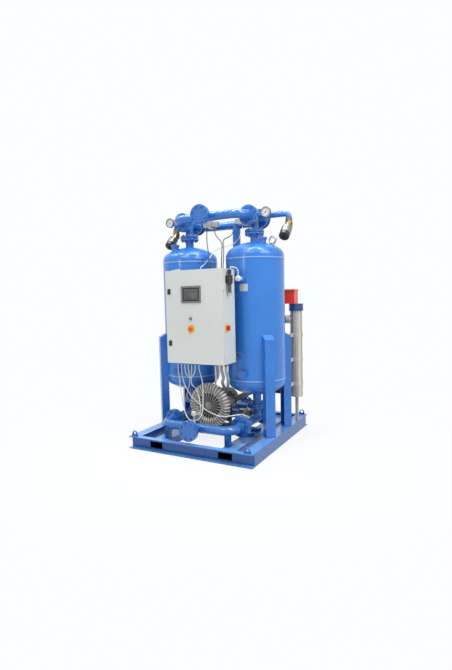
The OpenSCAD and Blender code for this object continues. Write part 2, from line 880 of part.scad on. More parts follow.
module front_header(joint_y, header_y, blind_y, z) {
  half_run = tower_x - elbow_r;
  joint_reach = joint_y - gasket_t / 2 - header_y;
  branch_reach = header_y - blind_y - gasket_t / 2;
  translate([0, header_y, z]) {
    difference() {
      union() {
        header_run(pipe_r, branch_r, half_run, joint_reach - flange_len + over, tee_c, 0);
        aim([-tee_c, 0, 0], TO_X) cylinder(r = tee_r, h = 2 * tee_c);
        for (s = SIDES) aim([s * tower_x, joint_reach, 0], TO_Y) neck_flange();
        aim([0, -branch_reach, 0], TO_NY) neck_flange();
      }
      header_run(bore_r, branch_bore_r, half_run, joint_reach, branch_reach, over);
    }
    for (s = SIDES)
      aim([s * seat_x - seat_t / 2, 0, 0], TO_X)
        difference() {
          cylinder(r = bore_r + over, h = seat_t);
          translate([0, 0, -over]) cylinder(r = seat_r, h = seat_t + 2 * over);
        }
  }
}

module bottom_header() {
  color(BLUE) front_header(bottom_joint_y, bottom_header_y, bottom_blind_y, bottom_z);
}

module top_header() {
  color(BLUE) front_header(top_joint_y, top_header_y, top_blind_y, top_z);
}

module blind_flange() {
  difference() {
    union() {
      translate([0, 0, -flange_t]) cylinder(r = flange_r, h = flange_t - raised_h);
      translate([0, 0, -flange_t]) cylinder(r = raised_r, h = flange_t);
    }
    bolt_holes();
  }
}

module blind_flanges() {
  color(BLUE)
    for (place = [[0, bottom_blind_y, bottom_z], [0, top_blind_y, top_z]])
      aim(place - [0, gasket_t / 2, 0], TO_Y) blind_flange();
}

// A tower tee: a run along Y with flanged ends and a flanged branch up or down
module tower_tee(front_reach, branch_turn, branch_reach) {
  difference() {
    union() {
      aim([0, -tee_c, 0], TO_Y) cylinder(r = tee_r, h = 2 * tee_c);
      aim([0, -front_reach + flange_len - over, 0], TO_Y)
        cylinder(r = pipe_r, h = front_reach - flange_len + over);
      aim([0, 0, 0], branch_turn) cylinder(r = branch_r, h = tee_c);
      aim([0, 0, 0], branch_turn) cylinder(r = pipe_r, h = branch_reach - flange_len + over);
      aim([0, -front_reach, 0], TO_NY) neck_flange();
      aim([0, tee_reach, 0], TO_Y) neck_flange();
      rotate(branch_turn) translate([0, 0, branch_reach]) neck_flange();
    }
    aim([0, -front_reach - over, 0], TO_Y) cylinder(r = bore_r, h = front_reach + tee_reach + 2 * over);
    aim([0, 0, 0], branch_turn) cylinder(r = branch_bore_r, h = branch_reach + over);
  }
}

module bottom_tees() {
  front_reach = tower_y - bottom_joint_y - gasket_t / 2;
  color(BLUE)
    for (s = SIDES)
      translate([s * tower_x, tower_y, bottom_z]) tower_tee(front_reach, TO_Z, tee_reach);
}

// The purge branch: out of the tee along X, then down into the purge valve
module purge_run(r, reach, extra) {
  aim([0, 0, 0], TO_X) cylinder(r = r, h = reach - purge_bend_r);
  translate([reach - purge_bend_r, 0, -purge_bend_r])
    rotate([90, 0, 0]) rotate_extrude(angle = 90) translate([purge_bend_r, 0]) circle(r);
  aim([reach, 0, -purge_bend_r], TO_NZ) cylinder(r = r, h = purge_drop + extra);
}

module gauge_feed() {
  feed_x = gauge_x - tower_x;
  feed_y = gauge_feed_y - tower_y;
  feed_z = gauge_z - top_z;
  aim([0, feed_y, feed_z], TO_X) cylinder(r = gauge_feed_r, h = feed_x);
  translate([feed_x, feed_y, feed_z]) cube(gauge_block, center = true);
}

module top_tees() {
  front_reach = tower_y - top_joint_y - gasket_t / 2;
  branch_reach = top_z - top_nozzle_z - gasket_t / 2;
  color(BLUE)
    for (s = SIDES) {
      reach = purge_reach[s > 0 ? 1 : 0] - tower_x;
      translate([s * tower_x, tower_y, top_z])
        mirror([s > 0 ? 0 : 1, 0, 0])
          difference() {
            union() {
              tower_tee(front_reach, TO_NZ, branch_reach);
              difference() {
                union() {
                  purge_run(purge_r, reach, 0);
                  gauge_feed();
                }
                aim([0, -front_reach, 0], TO_Y)
                  cylinder(r = bore_r, h = front_reach + tee_reach);
              }
            }
            purge_run(purge_r - purge_t, reach, over);
          }
    }
}

// A rear header: a run along X with bends forward to the valves and a branch at branch_x
module rear_run(r, half_run) {
  aim([-half_run, 0, 0], TO_X) cylinder(r = r, h = 2 * half_run);
  for (s = SIDES)
    mirror([s > 0 ? 0 : 1, 0, 0]) translate([half_run, 0, 0]) mirror([0, 1, 0]) bend(r, elbow_r);
}

module rear_header(branch_x, branch_turn, branch_reach) {
  half_run = tower_x - elbow_r;
  joint_reach = elbow_r + flange_len;
  difference() {
    union() {
      rear_run(pipe_r, half_run);
      aim([branch_x - tee_c, 0, 0], TO_X) cylinder(r = tee_r, h = 2 * tee_c);
      aim([branch_x, 0, 0], branch_turn) cylinder(r = branch_r, h = tee_c);
      aim([branch_x, 0, 0], branch_turn) cylinder(r = pipe_r, h = branch_reach);
      for (s = SIDES) aim([s * tower_x, -joint_reach, 0], TO_NY) neck_flange();
    }
    rear_run(bore_r, half_run);
    for (s = SIDES)
      aim([s * tower_x, -joint_reach - over, 0], TO_Y) cylinder(r = bore_r, h = flange_len + over);
    aim([branch_x, 0, 0], branch_turn) cylinder(r = branch_bore_r, h = branch_reach + over);
  }
}

module lower_rear_header() {
  color(BLUE)
    translate([0, rear_header_y, bottom_z])
      difference() {
        union() {
          rear_header(exhaust_x, TO_Y, tee_c + exhaust_run);
          aim([exhaust_x, exhaust_reach, 0], TO_Y) neck_flange();
        }
        aim([exhaust_x, 0, 0], TO_Y) cylinder(r = branch_bore_r, h = exhaust_reach + over);
      }
}

// The riser bends at its foot and runs to the heater's outlet
module outlet_line(r, rise, extra) {
  rotate(outlet_turn) {
    translate([0, 0, elbow_r]) cylinder(r = r, h = rise);
    translate([elbow_r, 0, elbow_r])
      rotate([90, 0, 0]) rotate(180) rotate_extrude(angle = 90) translate([elbow_r, 0]) circle(r);
    aim([elbow_r, 0, 0], TO_X) cylinder(r = r, h = outlet_run - stub_reach - elbow_r + extra);
  }
}

module upper_rear_header() {
  rise = top_z - tee_c - outlet_z - elbow_r;
  color(BLUE)
    difference() {
      union() {
        translate([0, rear_header_y, top_z]) rear_header(riser_x, TO_NZ, tee_c);
        translate([riser_x, rear_header_y, outlet_z]) outlet_line(pipe_r, rise + over, 0);
      }
      translate([riser_x, rear_header_y, outlet_z]) outlet_line(branch_bore_r - 0.5, rise + 3 * over, over);
    }
}

module flange_gaskets() {
  color(DARK)
    for (j = gasket_joints)
      aim(j[0], j[1])
        difference() {
          cylinder(r = raised_r, h = gasket_t, center = true);
          cylinder(r = pipe_r, h = gasket_t + 2 * over, center = true);
        }
}

// A stud with a nut at each end, about the middle of its joint
module stud_bolt(grip) {
  half = grip / 2;
  cylinder(r = stud_r, h = grip + 2 * (nut_h + stud_end), center = true);
  for (s = SIDES)
    translate([0, 0, s * (half + nut_h / 2)]) cylinder(r = nut_r, h = nut_h, center = true, $fn = 6);
}

module bolt_ring(grip) {
  for (i = [0 : bolt_count - 1])
    rotate(360 * (i + 0.5) / bolt_count) translate([flange_pcd / 2, 0, 0]) stud_bolt(grip);
}

module flange_bolts() {
  color(STEEL) {
    for (j = gasket_joints) aim(j[0], j[1]) bolt_ring(gasket_t + 2 * flange_t);
    for (j = valve_joints) aim(j[0], j[1]) bolt_ring(valve_w + 2 * flange_t);
  }
}

// A shuttle: two poppets with guide vanes on one rod, sliding along X
module shuttle() {
  aim([-poppet_x, 0, 0], TO_X) cylinder(r = shuttle_rod_r, h = 2 * poppet_x);
  for (s = SIDES)
    translate([s * (poppet_x - poppet_t / 2), 0, 0]) {
      rotate(TO_X) cylinder(r = poppet_r, h = poppet_t, center = true);
      translate([-s * (vane_len + poppet_t) / 2, 0, 0])
        intersection() {
          union() {
            cube([vane_len, 2 * bore_r, vane_t], center = true);
            cube([vane_len, vane_t, 2 * bore_r], center = true);
          }
          rotate(TO_X) cylinder(r = bore_r - seat_gap, h = vane_len, center = true);
        }
    }
}

module inlet_shuttle() {
  color(STEEL) translate([0, bottom_header_y, bottom_z]) shuttle();
}

module outlet_shuttle() {
  color(STEEL) translate([0, top_header_y, top_z]) shuttle();
}

// Valves

// A wafer body about the pipe axis Y, with its neck and pad towards +X
module valve_body() {
  difference() {
    union() {
      rotate(TO_Y) cylinder(r = valve_r, h = valve_w, center = true);
      rotate(TO_X) cylinder(r = neck_r, h = stem_reach - pad_t + over);
      translate([stem_reach - pad_t / 2, 0, 0]) cube([pad_t, pad_w, pad_w], center = true);
    }
    rotate(TO_Y) cylinder(r = valve_bore_r, h = valve_w + 2 * over, center = true);
    translate([-valve_r + 8, 0, 0]) rotate(TO_X) cylinder(r = stem_r + run_gap, h = valve_r + stem_reach);
  }
}

module at_valves() {
  for (s = SIDES, z = [bottom_z, top_z])
    translate([s * tower_x, valve_y, z]) mirror([s > 0 ? 1 : 0, 0, 0]) children();
}

module valve_bodies() {
  color(ALLOY) at_valves() valve_body();
}

// A disc with a round edge on its stem, closed across the pipe
module valve_disc(side, z) {
  color(STEEL)
    translate([side * tower_x, valve_y, z])
      mirror([side > 0 ? 1 : 0, 0, 0]) {
        intersection() {
          sphere(r = disc_r);
          cube([2 * vessel_r, disc_t, 2 * vessel_r], center = true);
        }
        translate([-valve_r + 12, 0, 0])
          rotate(TO_X) cylinder(r = stem_r, h = valve_r - 12 + stem_reach + stem_seat - 2);
      }
}

module left_exhaust_disc() {
  valve_disc(-1, bottom_z);
}

module right_exhaust_disc() {
  valve_disc(1, bottom_z);
}

module left_regen_disc() {
  valve_disc(-1, top_z);
}

module right_regen_disc() {
  valve_disc(1, top_z);
}

// An extruded actuator across its stem, with end caps and a position cap
module valve_actuator() {
  end_t = 14;
  groove = 6;
  difference() {
    union() {
      translate([actuator_h / 2, 0, 0])
        cube([actuator_h, actuator_len - 2 * end_t, actuator_w - 2 * groove], center = true);
      translate([actuator_h / 2, 0, 0])
        cube([actuator_h - 4 * groove, actuator_len - 2 * end_t, actuator_w], center = true);
      for (d = SIDES)
        translate([actuator_h / 2, d * (actuator_len - end_t) / 2, 0])
          cube([actuator_h - groove, end_t, actuator_w + 2], center = true);
      translate([actuator_h - over, -indicator[1] / 2, -indicator[2] / 2]) cube(indicator + [over, 0, 0]);
    }
    translate([-over, 0, 0]) rotate(TO_X) cylinder(r = stem_r + run_gap, h = stem_seat + over);
  }
}

module valve_actuators() {
  color(ALLOY) at_valves() translate([stem_reach, 0, 0]) valve_actuator();
}

// Places the children at each purge valve's middle, with +Z along the slanted actuator
module at_purge_arms() {
  for (s = SIDES)
    translate([s * purge_reach[s > 0 ? 1 : 0], tower_y, purge_mid_z])
      rotate([180 - purge_tilt, 0, 0]) children();
}

module purge_valve_bodies() {
  color(BRASS)
    for (s = SIDES)
      translate([s * purge_reach[s > 0 ? 1 : 0], tower_y, purge_mid_z])
        difference() {
          union() {
            cylinder(r = purge_body_r, h = purge_body_len, center = true, $fn = 8);
            sphere(r = purge_body_r + 2);
            rotate([180 - purge_tilt, 0, 0]) cylinder(r = purge_arm_r, h = purge_arm);
          }
          cylinder(r = purge_r - purge_t, h = purge_body_len + 2 * over, center = true);
        }
}

module purge_actuators() {
  color(STEEL)
    at_purge_arms()
      translate([0, 0, purge_arm]) {
        cylinder(r1 = purge_arm_r + 4, r2 = purge_act_r, h = 16);
        translate([0, 0, 16]) cylinder(r = purge_act_r, h = purge_act_len - 16);
      }
}

module purge_caps() {
  color(DARK)
    at_purge_arms()
      translate([0, 0, purge_arm + purge_act_len])
        difference() {
          union() {
            cylinder(r = purge_act_r - 1, h = purge_cap_len - 8);
            translate([0, 0, purge_cap_len - 8])
              cylinder(r1 = purge_act_r - 1, r2 = purge_act_r - 9, h = 8);
          }
          translate([0, 0, purge_cap_len - 10]) cylinder(r = 14, h = 10 + over);
        }
}

// Gauges

module gauge_cases() {
  color(STEEL)
    for (s = SIDES)
      aim([s * gauge_x, gauge_front_y, gauge_z], TO_Y) {
        difference() {
          cylinder(r = gauge_r, h = gauge_d);
          translate([0, 0, -over]) cylinder(r = gauge_r - gauge_rim, h = dial_depth + over);
        }
        cylinder(r = pointer_pin_r, h = dial_depth + over);
        translate([0, 0, gauge_d]) cylinder(r = gauge_feed_r, h = gauge_stem_len);
      }
}

module gauge_pointer(side) {
  hub_r = 5;
  color(DARK)
    aim([side * gauge_x, gauge_front_y + dial_depth - seat_gap - pointer_t, gauge_z], TO_Y)
      rotate(pointer_turn)
        difference() {
          union() {
            cylinder(r = hub_r, h = pointer_t);
            linear_extrude(pointer_t)
              polygon([[-14, -2.5], [-14, 2.5], [pointer_len, 0.6], [pointer_len, -0.6]]);
          }
          translate([0, 0, -over]) cylinder(r = pointer_pin_r + run_gap, h = pointer_t + 2 * over);
        }
}

module left_gauge_pointer() {
  gauge_pointer(-1);
}

module right_gauge_pointer() {
  gauge_pointer(1);
}

// Cabinet

module cabinet_box() {
  depth = cabinet_back_y - box_front_y;
  color(GREY) {
    difference() {
      translate([cabinet_left, box_front_y, cabinet_z]) cube([cabinet_w, depth, cabinet_h]);
      translate([cabinet_left + sheet_t, box_front_y + sheet_t, cabinet_z + sheet_t])
        cube([cabinet_w - 2 * sheet_t, depth - 2 * sheet_t, cabinet_h - 2 * sheet_t]);
      translate([cabinet_left + rim_w, box_front_y - over, cabinet_z + rim_w])
        cube([cabinet_w - 2 * rim_w, sheet_t + 2 * over, cabinet_h - 2 * rim_w]);
    }
    // Lower hinge knuckles with their pins
    for (z = hinge_z)
      translate([hinge_x, hinge_y, z - hinge_len]) {
        cylinder(r = hinge_r, h = hinge_len - seat_gap);
        translate([-hinge_r, 0, 0]) cube([hinge_r, 8 + rim_w, hinge_len - seat_gap]);
        translate([-hinge_off, 8, 0]) cube([hinge_off, rim_w, hinge_len - seat_gap]);
        translate([0, 0, over]) cylinder(r = hinge_pin_r, h = 2 * hinge_len - over);
      }
  }
}

module door_cutouts() {
  through = door_d + 2 * over;
  aim([control_x, cabinet_front_y - over, button_z], TO_Y) cylinder(r = button_r + run_gap, h = through);
  aim([control_x, cabinet_front_y - over, stop_z], TO_Y) cylinder(r = stop_neck_r + run_gap, h = through);
  for (z = lock_z)
    aim([lock_x, cabinet_front_y - over, z], TO_Y) cylinder(r = lock_r + run_gap, h = through);
  translate([panel_x - panel_w / 2 + 10, cabinet_front_y - over, panel_z - panel_h / 2 + 10])
    cube([panel_w - 20, through, panel_h - 20]);
}

module cabinet_door() {
  color(GREY) {
    difference() {
      translate([cabinet_left, cabinet_front_y, cabinet_z]) cube([cabinet_w, door_d, cabinet_h]);
      translate([cabinet_left + sheet_t, cabinet_front_y + sheet_t, cabinet_z + sheet_t])
        cube([cabinet_w - 2 * sheet_t, door_d, cabinet_h - 2 * sheet_t]);
      door_cutouts();
    }
    // Upper hinge knuckles
    for (z = hinge_z)
      translate([hinge_x, hinge_y, z])
        difference() {
          union() {
            cylinder(r = hinge_r, h = hinge_len);
            translate([-hinge_off - over, -hinge_r, 0]) cube([hinge_off + over, hinge_r, hinge_len]);
          }
          translate([0, 0, -over]) cylinder(r = hinge_pin_r + run_gap, h = hinge_len + 2 * over);
        }
  }
}

module operator_panel() {
  bezel = 17;
  color(DARK)
    translate([panel_x, cabinet_front_y, panel_z]) {
      difference() {
        translate([-panel_w / 2, -panel_t, -panel_h / 2]) cube([panel_w, panel_t, panel_h]);
        translate([-panel_w / 2 + bezel, -panel_t - over, -panel_h / 2 + bezel])
          cube([panel_w - 2 * bezel, 1.5 + over, panel_h - 2 * bezel]);
      }
      translate([-panel_w / 2 + 11, 0, -panel_h / 2 + 11]) cube([panel_w - 22, panel_back, panel_h - 22]);
    }
}

module push_button() {
  color(RED)
    aim([control_x, cabinet_front_y, button_z], TO_Y) {
      translate([0, 0, -button_travel - 6]) cylinder(r = button_rim_r, h = 6 - seat_gap);
      translate([0, 0, -button_travel - 1]) cylinder(r = button_r, h = button_travel + 24);
    }
}

module stop_button() {
  head_h = 16;
  stand = stop_travel + 2 + seat_gap;
  color(RED)
    aim([control_x, cabinet_front_y, stop_z], TO_NY) {
      translate([0, 0, -28]) cylinder(r = stop_neck_r, h = 28 + stand + over);
      translate([0, 0, stand]) cylinder(r1 = stop_r - 6, r2 = stop_r, h = 5);
      translate([0, 0, stand + 5])
        intersection() {
          cylinder(r = stop_r, h = head_h - 5);
          translate([0, 0, head_h - 5 - 2 * stop_r]) sphere(r = 2 * stop_r);
        }
    }
}

module door_lock(z) {
  reach = box_front_y + sheet_t + 2 - cabinet_front_y;
  color(DARK)
    aim([lock_x, cabinet_front_y, z], TO_Y) {
      difference() {
        translate([0, 0, -6]) cylinder(r = lock_rim_r, h = 6);
        translate([-9, -2, -6 - over]) cube([18, 4, 4 + over]);
      }
      cylinder(r = lock_r, h = reach);
      translate([-cam_w / 2, -cam_w / 2, reach]) cube([cam_w, cam_len, cam_t]);
    }
}

module upper_lock() {
  door_lock(lock_z[1]);
}

module lower_lock() {
  door_lock(lock_z[0]);
}

module switch_plate() {
  color(YELLOW)
    translate([cabinet_right, switch_y, switch_z])
      difference() {
        translate([0, -switch_w / 2, -switch_w / 2]) cube([switch_t, switch_w, switch_w]);
        translate([-over, 0, 0])
          rotate(TO_X) cylinder(r = switch_shaft_r + run_gap, h = switch_t + 2 * over);
      }
}

module switch_knob() {
  grip_h = 20;
  color(RED)
    translate([cabinet_right, switch_y, switch_z])
      rotate(TO_X) {
        translate([0, 0, seat_gap]) cylinder(r = switch_shaft_r, h = switch_t + 2);
        translate([0, 0, switch_t + seat_gap]) cylinder(r = switch_knob_r, h = switch_knob_h);
        translate([-switch_knob_r, -6, switch_t + switch_knob_h])
          cube([2 * switch_knob_r, 12, grip_h]);
      }
}

// The mounting plate on its spacers, with wiring ducts, rails and the control devices
module control_gear() {
  left = cabinet_x - plate_w / 2;
  low = cabinet_z + plate_margin;
  duct_w = 40;
  duct_d = 60;
  rows = 3;
  row_pitch = (plate_h - duct_w) / rows;
  rail_d = 8;
  device_d = 70;
  device_w = [[70, 70, 45, 45, 45, 100], [160, 54, 54, 54, 54], [22, 22, 22, 22, 22, 22, 120, 90]];
  function before(list, i) = i == 0 ? 0 : list[i - 1] + 4 + before(list, i - 1);
  color(GREY) {
    translate([left, plate_front_y, low]) cube([plate_w, plate_t, plate_h]);
    for (x = [left + 20, left + plate_w - 20], z = [low + 20, low + plate_h - 20])
      aim([x, plate_front_y + plate_t, z], TO_Y) cylinder(r = spacer_r, h = spacer_len);
    for (i = [0 : rows])
      translate([left, plate_front_y - duct_d, low + i * row_pitch]) cube([plate_w, duct_d, duct_w]);
    for (i = [0 : rows - 1]) {
      mid = low + duct_w + i * row_pitch + (row_pitch - duct_w) / 2;
      translate([left + 10, plate_front_y - rail_d, mid - 17]) cube([plate_w - 20, rail_d, 35]);
      for (k = [0 : len(device_w[i]) - 1])
        translate([left + 16 + before(device_w[i], k), plate_front_y - rail_d - device_d, mid - 48])
          cube([device_w[i][k], device_d, 96]);
    }
  }
}

module gland(x, r) {
  aim([x, gland_y, cabinet_z], TO_NZ) {
    cylinder(r = r, h = gland_hex_h, $fn = 6);
    cylinder(r = r * 0.84, h = gland_h - 8);
    translate([0, 0, gland_h - 8]) cylinder(r1 = r * 0.84, r2 = r * 0.7, h = 8);
  }
}

module cable_glands() {
  color(DARK) {
    for (x = gland_xs) gland(x, gland_r);
    for (x = conduit_xs) gland(x, conduit_gland_r);
  }
}

// Two slotted channels behind the cabinet, on stand-offs from the vessels
module mounting_rails() {
  color(STEEL)
    for (z = rail_zs) {
      translate([0, rail_back_y - rail_w / 2, z])
        difference() {
          cube([rail_len, rail_w, rail_w], center = true);
          cube([rail_len + 2 * over, rail_w - 2 * rail_t, rail_w - 2 * rail_t], center = true);
          translate([0, rail_w / 2, 0])
            cube([rail_len + 2 * over, 3 * rail_t, rail_w / 2], center = true);
        }
      for (s = SIDES)
        difference() {
          translate([(s * (rail_len - standoff_w) - standoff_w) / 2, rail_back_y, z - rail_w / 2])
            cube([standoff_w, vessel_front_y - rail_back_y + 20, rail_w]);
          translate([s * tower_x, tower_y, 0]) vessel_form(-seat_gap);
        }
    }
}

module filter_regulator() {
  body_z = filter_top_z - filter_knob_h - filter_body_h;
  color(DARK) {
    translate([cabinet_right, filter_y - 30, body_z + 10]) cube([filter_bracket_t, 60, filter_body_h - 20]);
    translate([filter_x, filter_y, 0]) {
      translate([0, 0, body_z + filter_body_h / 2])
        cube([2 * filter_r + 6, 2 * filter_r + 6, filter_body_h], center = true);
      translate([0, 0, body_z + filter_body_h]) cylinder(r = knob_neck_r, h = filter_knob_h - 12);
      translate([0, 0, body_z - 14]) cylinder(r = filter_r + 2, h = 14);
      translate([0, 0, body_z - filter_bowl_h + 12]) cylinder(r = filter_r - 2, h = filter_bowl_h - 12);
      translate([0, 0, body_z - filter_bowl_h]) cylinder(r1 = filter_r - 12, r2 = filter_r - 2, h = 12);
    }
  }
}

module regulator_knob() {
  depth = filter_knob_h - 8;
  color(DARK)
    translate([filter_x, filter_y, filter_top_z - depth])
      difference() {
        linear_extrude(depth)
          difference() {
            circle(filter_r - 1);
            for (i = [0 : 11]) rotate(30 * i) translate([filter_r, 0]) circle(3);
          }
        translate([0, 0, -over])
          cylinder(r = knob_neck_r + run_gap, h = filter_knob_h - 20 + seat_gap + over);
      }
}

// Blower

module at_blower() {
  translate([0, blower_front_y, blower_z]) rotate(TO_Y) children();
}

// Casing outline: the side channel with its two walls
module casing_outline(inset) {
  intersection() {
    union() {
      translate([ring_r, ring_z]) circle(channel_r - inset);
      translate([0, casing_low + inset]) square([ring_r, casing_high - casing_low - 2 * inset]);
    }
    square([2 * ring_r, 4 * channel_r]);
  }
}

module blower_port(side) {
  translate([side * port_x, blower_z - port_z, ring_z]) children();
}

module blower_housing() {
  color(ALLOY)
    at_blower() {
      difference() {
        union() {
          rotate_extrude() casing_outline(0);
          // Ribs over the front half of the side channel
          for (i = [0 : rib_count - 1])
            rotate(360 * i / rib_count)
              rotate_extrude(angle = rib_turn)
                intersection() {
                  translate([ring_r, ring_z])
                    difference() {
                      circle(channel_r + rib_h);
                      circle(channel_r - casing_t / 2);
                    }
                  square([2 * ring_r, ring_z + 6]);
                }
          // Ribs of the inner dish and its rings
          for (i = [0 : inner_rib_count - 1])
            rotate(360 * i / inner_rib_count)
              rotate_extrude(angle = 2 * rib_turn)
                translate([hub_r - 4, casing_low - 12]) square([ring_r - channel_r - hub_r + 16, 14]);
          translate([0, 0, casing_low - 18]) cylinder(r = hub_r, h = 20);
          translate([0, 0, casing_low - 26]) cylinder(r = hub_r - 16, h = 20);
          translate([0, 0, casing_high - over]) cylinder(r = motor_r, h = adapter_len + over);
          for (s = SIDES) blower_port(s) cylinder(r = port_r, h = port_len);
          blower_port(-1) translate([0, 0, port_len - over]) cylinder(r = port_r + 4, h = intake_len);
        }
        rotate_extrude() casing_outline(casing_t);
        translate([0, 0, casing_high - casing_t - over])
          cylinder(r = rotor_shaft_r + run_gap, h = adapter_len + casing_t + 3 * over);
        blower_port(1) cylinder(r = port_r - casing_t, h = port_len + over);
        blower_port(-1) cylinder(r = port_r - casing_t, h = port_len + intake_len - 2 * casing_t);
      }
    }
}

module blower_rotor() {
  color(STEEL)
    at_blower() {
      translate([0, 0, ring_z - impeller_t])
        cylinder(r = rotor_shaft_r, h = shaft_end - ring_z + impeller_t);
      translate([0, 0, ring_z - impeller_t / 2]) cylinder(r = ring_r - 20, h = impeller_t);
      intersection() {
        for (i = [0 : blade_count - 1])
          rotate(360 * i / blade_count)
            translate([ring_r - channel_r, -blade_t / 2, ring_z - 26])
              cube([2 * channel_r, blade_t, 52]);
        rotate_extrude() translate([ring_r, ring_z]) circle(channel_in_r - 2);
      }
      translate([0, 0, motor_end + 12]) cylinder(r = fan_hub_r, h = shaft_end - motor_end - 12);
      for (i = [0 : 5])
        rotate(60 * i)
          translate([fan_hub_r - over, -2, motor_end + 14])
            cube([fan_r - fan_hub_r, 4, shaft_end - motor_end - 18]);
    }
}

module blower_motor() {
  foot_top = blower_z - motor_r * 0.6;
  color(DARK) {
    at_blower()
      difference() {
        union() {
          translate([0, 0, motor_start])
            linear_extrude(motor_len) {
              circle(motor_r);
              for (i = [0 : fin_count - 1])
                rotate(360 * i / fin_count)
                  translate([motor_r - 4, -fin_t / 2]) square([fin_h + 4, fin_t]);
            }
          translate([-60, -motor_r - 46, motor_start + 50]) cube([120, 60, 130]);
        }
        translate([0, 0, motor_start - over])
          cylinder(r = rotor_shaft_r + run_gap, h = motor_len + 2 * over);
      }
    // The cowl over the fan, with its grille
    at_blower()
      difference() {
        translate([0, 0, motor_end - cowl_grip]) cylinder(r = cowl_r, h = cowl_len + cowl_grip);
        translate([0, 0, motor_end - cowl_grip - over])
          cylinder(r = cowl_r - cowl_t, h = cowl_len + cowl_grip - cowl_t + over);
        for (i = [0 : 11])
          rotate(30 * i)
            translate([fan_hub_r, -5, motor_end])
              cube([fan_r - fan_hub_r, 10, cowl_len + over]);
      }
    for (y = bar_ys)
      difference() {
        translate([-motor_foot_w / 2, y - motor_foot_d / 2, bar_top_z])
          cube([motor_foot_w, motor_foot_d, foot_top - bar_top_z]);
        translate([0, y, blower_z]) rotate(TO_Y)
          cylinder(r = motor_r - 4, h = 2 * motor_foot_d, center = true);
        translate([-motor_foot_w / 2 + 12, y - motor_foot_d, bar_top_z + 10])
          cube([motor_foot_w - 24, 2 * motor_foot_d, 34]);
      }
  }
}

// From the blower's right port back, then across to the heater's inlet
module blower_pipe_run(r, extra) {
  bend_r = 76;
  start_y = blower_front_y + ring_z + port_len;
  aim([port_x, start_y - extra, port_z], TO_Y) cylinder(r = r, h = heater_y - bend_r - start_y + extra);
  translate([port_x + bend_r, heater_y - bend_r, port_z])
    rotate(90) rotate_extrude(angle = 90) translate([bend_r, 0]) circle(r);
  aim([port_x + bend_r, heater_y, port_z], TO_X)
    cylinder(r = r, h = heater_x - stub_reach - port_x - bend_r + extra);
}

module blower_pipe() {
  color(DARK)
    difference() {
      union() {
        blower_pipe_run(blower_pipe_r, 0);
        aim([port_x, blower_front_y + ring_z + port_len, port_z], TO_Y) cylinder(r = port_r + 4, h = 14);
      }
      blower_pipe_run(blower_pipe_r - purge_t, over);
    }
}

// Heater

module heater_stub(z, turn, r) {
  translate([heater_x, heater_y, z]) rotate(turn) rotate(TO_X) cylinder(r = r, h = stub_reach);
}

module heater_shell() {
  color(STEEL)
    difference() {
      union() {
        translate([heater_x, heater_y, heater_low_z])
          cylinder(r = heater_r, h = heater_top_z - heater_low_z + over);
        translate([heater_x, heater_y, heater_top_z])
          cylinder(r = heater_flange_r, h = heater_flange_t);
        heater_stub(port_z, 180, blower_pipe_r);
        heater_stub(outlet_z, 180 + outlet_turn, pipe_r);
      }
      translate([heater_x, heater_y, heater_low_z + heater_wall])
        cylinder(r = heater_r - heater_wall, h = heater_top_z - heater_low_z + heater_flange_t);
      difference() {
        union() {
          heater_stub(port_z, 180, blower_pipe_r - purge_t);
          heater_stub(outlet_z, 180 + outlet_turn, branch_bore_r);
        }
        translate([heater_x, heater_y, 0]) cylinder(r = heater_r - heater_wall - over, h = heater_top_z);
      }
    }
}

// The lid flange with its rods hanging in the air stream
module heater_rods() {
  color(STEEL)
    translate([heater_x, heater_y, heater_lid_z - gasket_t]) {
      cylinder(r = heater_flange_r, h = heater_lid_t);
      for (i = [0 : rod_count - 1])
        rotate(360 * i / rod_count)
          translate([rod_ring_r, 0, rod_low_z - heater_lid_z])
            cylinder(r = rod_r, h = heater_lid_z - rod_low_z + over);
    }
}

module terminal_box() {
  low = heater_lid_z - gasket_t + heater_lid_t;
  lip = 6;
  color(RED)
    translate([heater_x + terminal_box_shift - box_w / 2, heater_y - terminal_box_d / 2, low]) {
      cube([box_w, terminal_box_d, box_h - 14]);
      translate([-lip, -lip, box_h - 18]) cube([box_w + 2 * lip, terminal_box_d + 2 * lip, 18]);
    }
}

// Bands round the heater with bars to the rear right leg, and a leg down to the side beam
module heater_brackets() {
  color(STEEL) {
    for (z = bracket_zs)
      difference() {
        union() {
          translate([heater_x, heater_y, z]) cylinder(r = heater_r + seat_gap + band_t, h = bracket_h);
          translate([bracket_x - bracket_t / 2, tower_y + vessel_r - 40, z])
            cube([bracket_t, heater_y - tower_y - vessel_r, bracket_h]);
        }
        translate([heater_x, heater_y, z - over])
          cylinder(r = heater_r + seat_gap, h = bracket_h + 2 * over);
        translate([tower_x, tower_y, z - over])
          rotate(leg_angles[1])
            translate([0, -vessel_r, 0])
              cube([leg_face, 2 * vessel_r, bracket_h + 2 * over]);
      }
    translate([heater_x - heater_leg_w / 2, heater_y - heater_leg_w / 2, beam_h])
      cube([heater_leg_w, heater_leg_w, heater_low_z - beam_h]);
  }
}

// A sensor on its boss, pointing along +Z: hexagon, neck and connection head
module sensor(neck) {
  cylinder(r = 15, h = 14, $fn = 6);
  cylinder(r = 8, h = neck + 4);
  translate([0, 0, neck]) cylinder(r1 = 14, r2 = sensor_r, h = 12);
  translate([0, 0, neck + 12]) cylinder(r = sensor_r, h = 30);
  translate([0, 0, neck + 42]) cylinder(r1 = sensor_r, r2 = sensor_r - 8, h = 10);
}

module temperature_sensors() {
  color(WHITE) {
    for (s = SIDES) aim([s * tower_x, vessel_front_y - boss_len, boss_z], TO_NY) sensor(40);
    aim([sensor_x, bottom_header_y, bottom_z + tee_r + seat_gap], TO_Z) sensor(65);
  }
}

// Cables

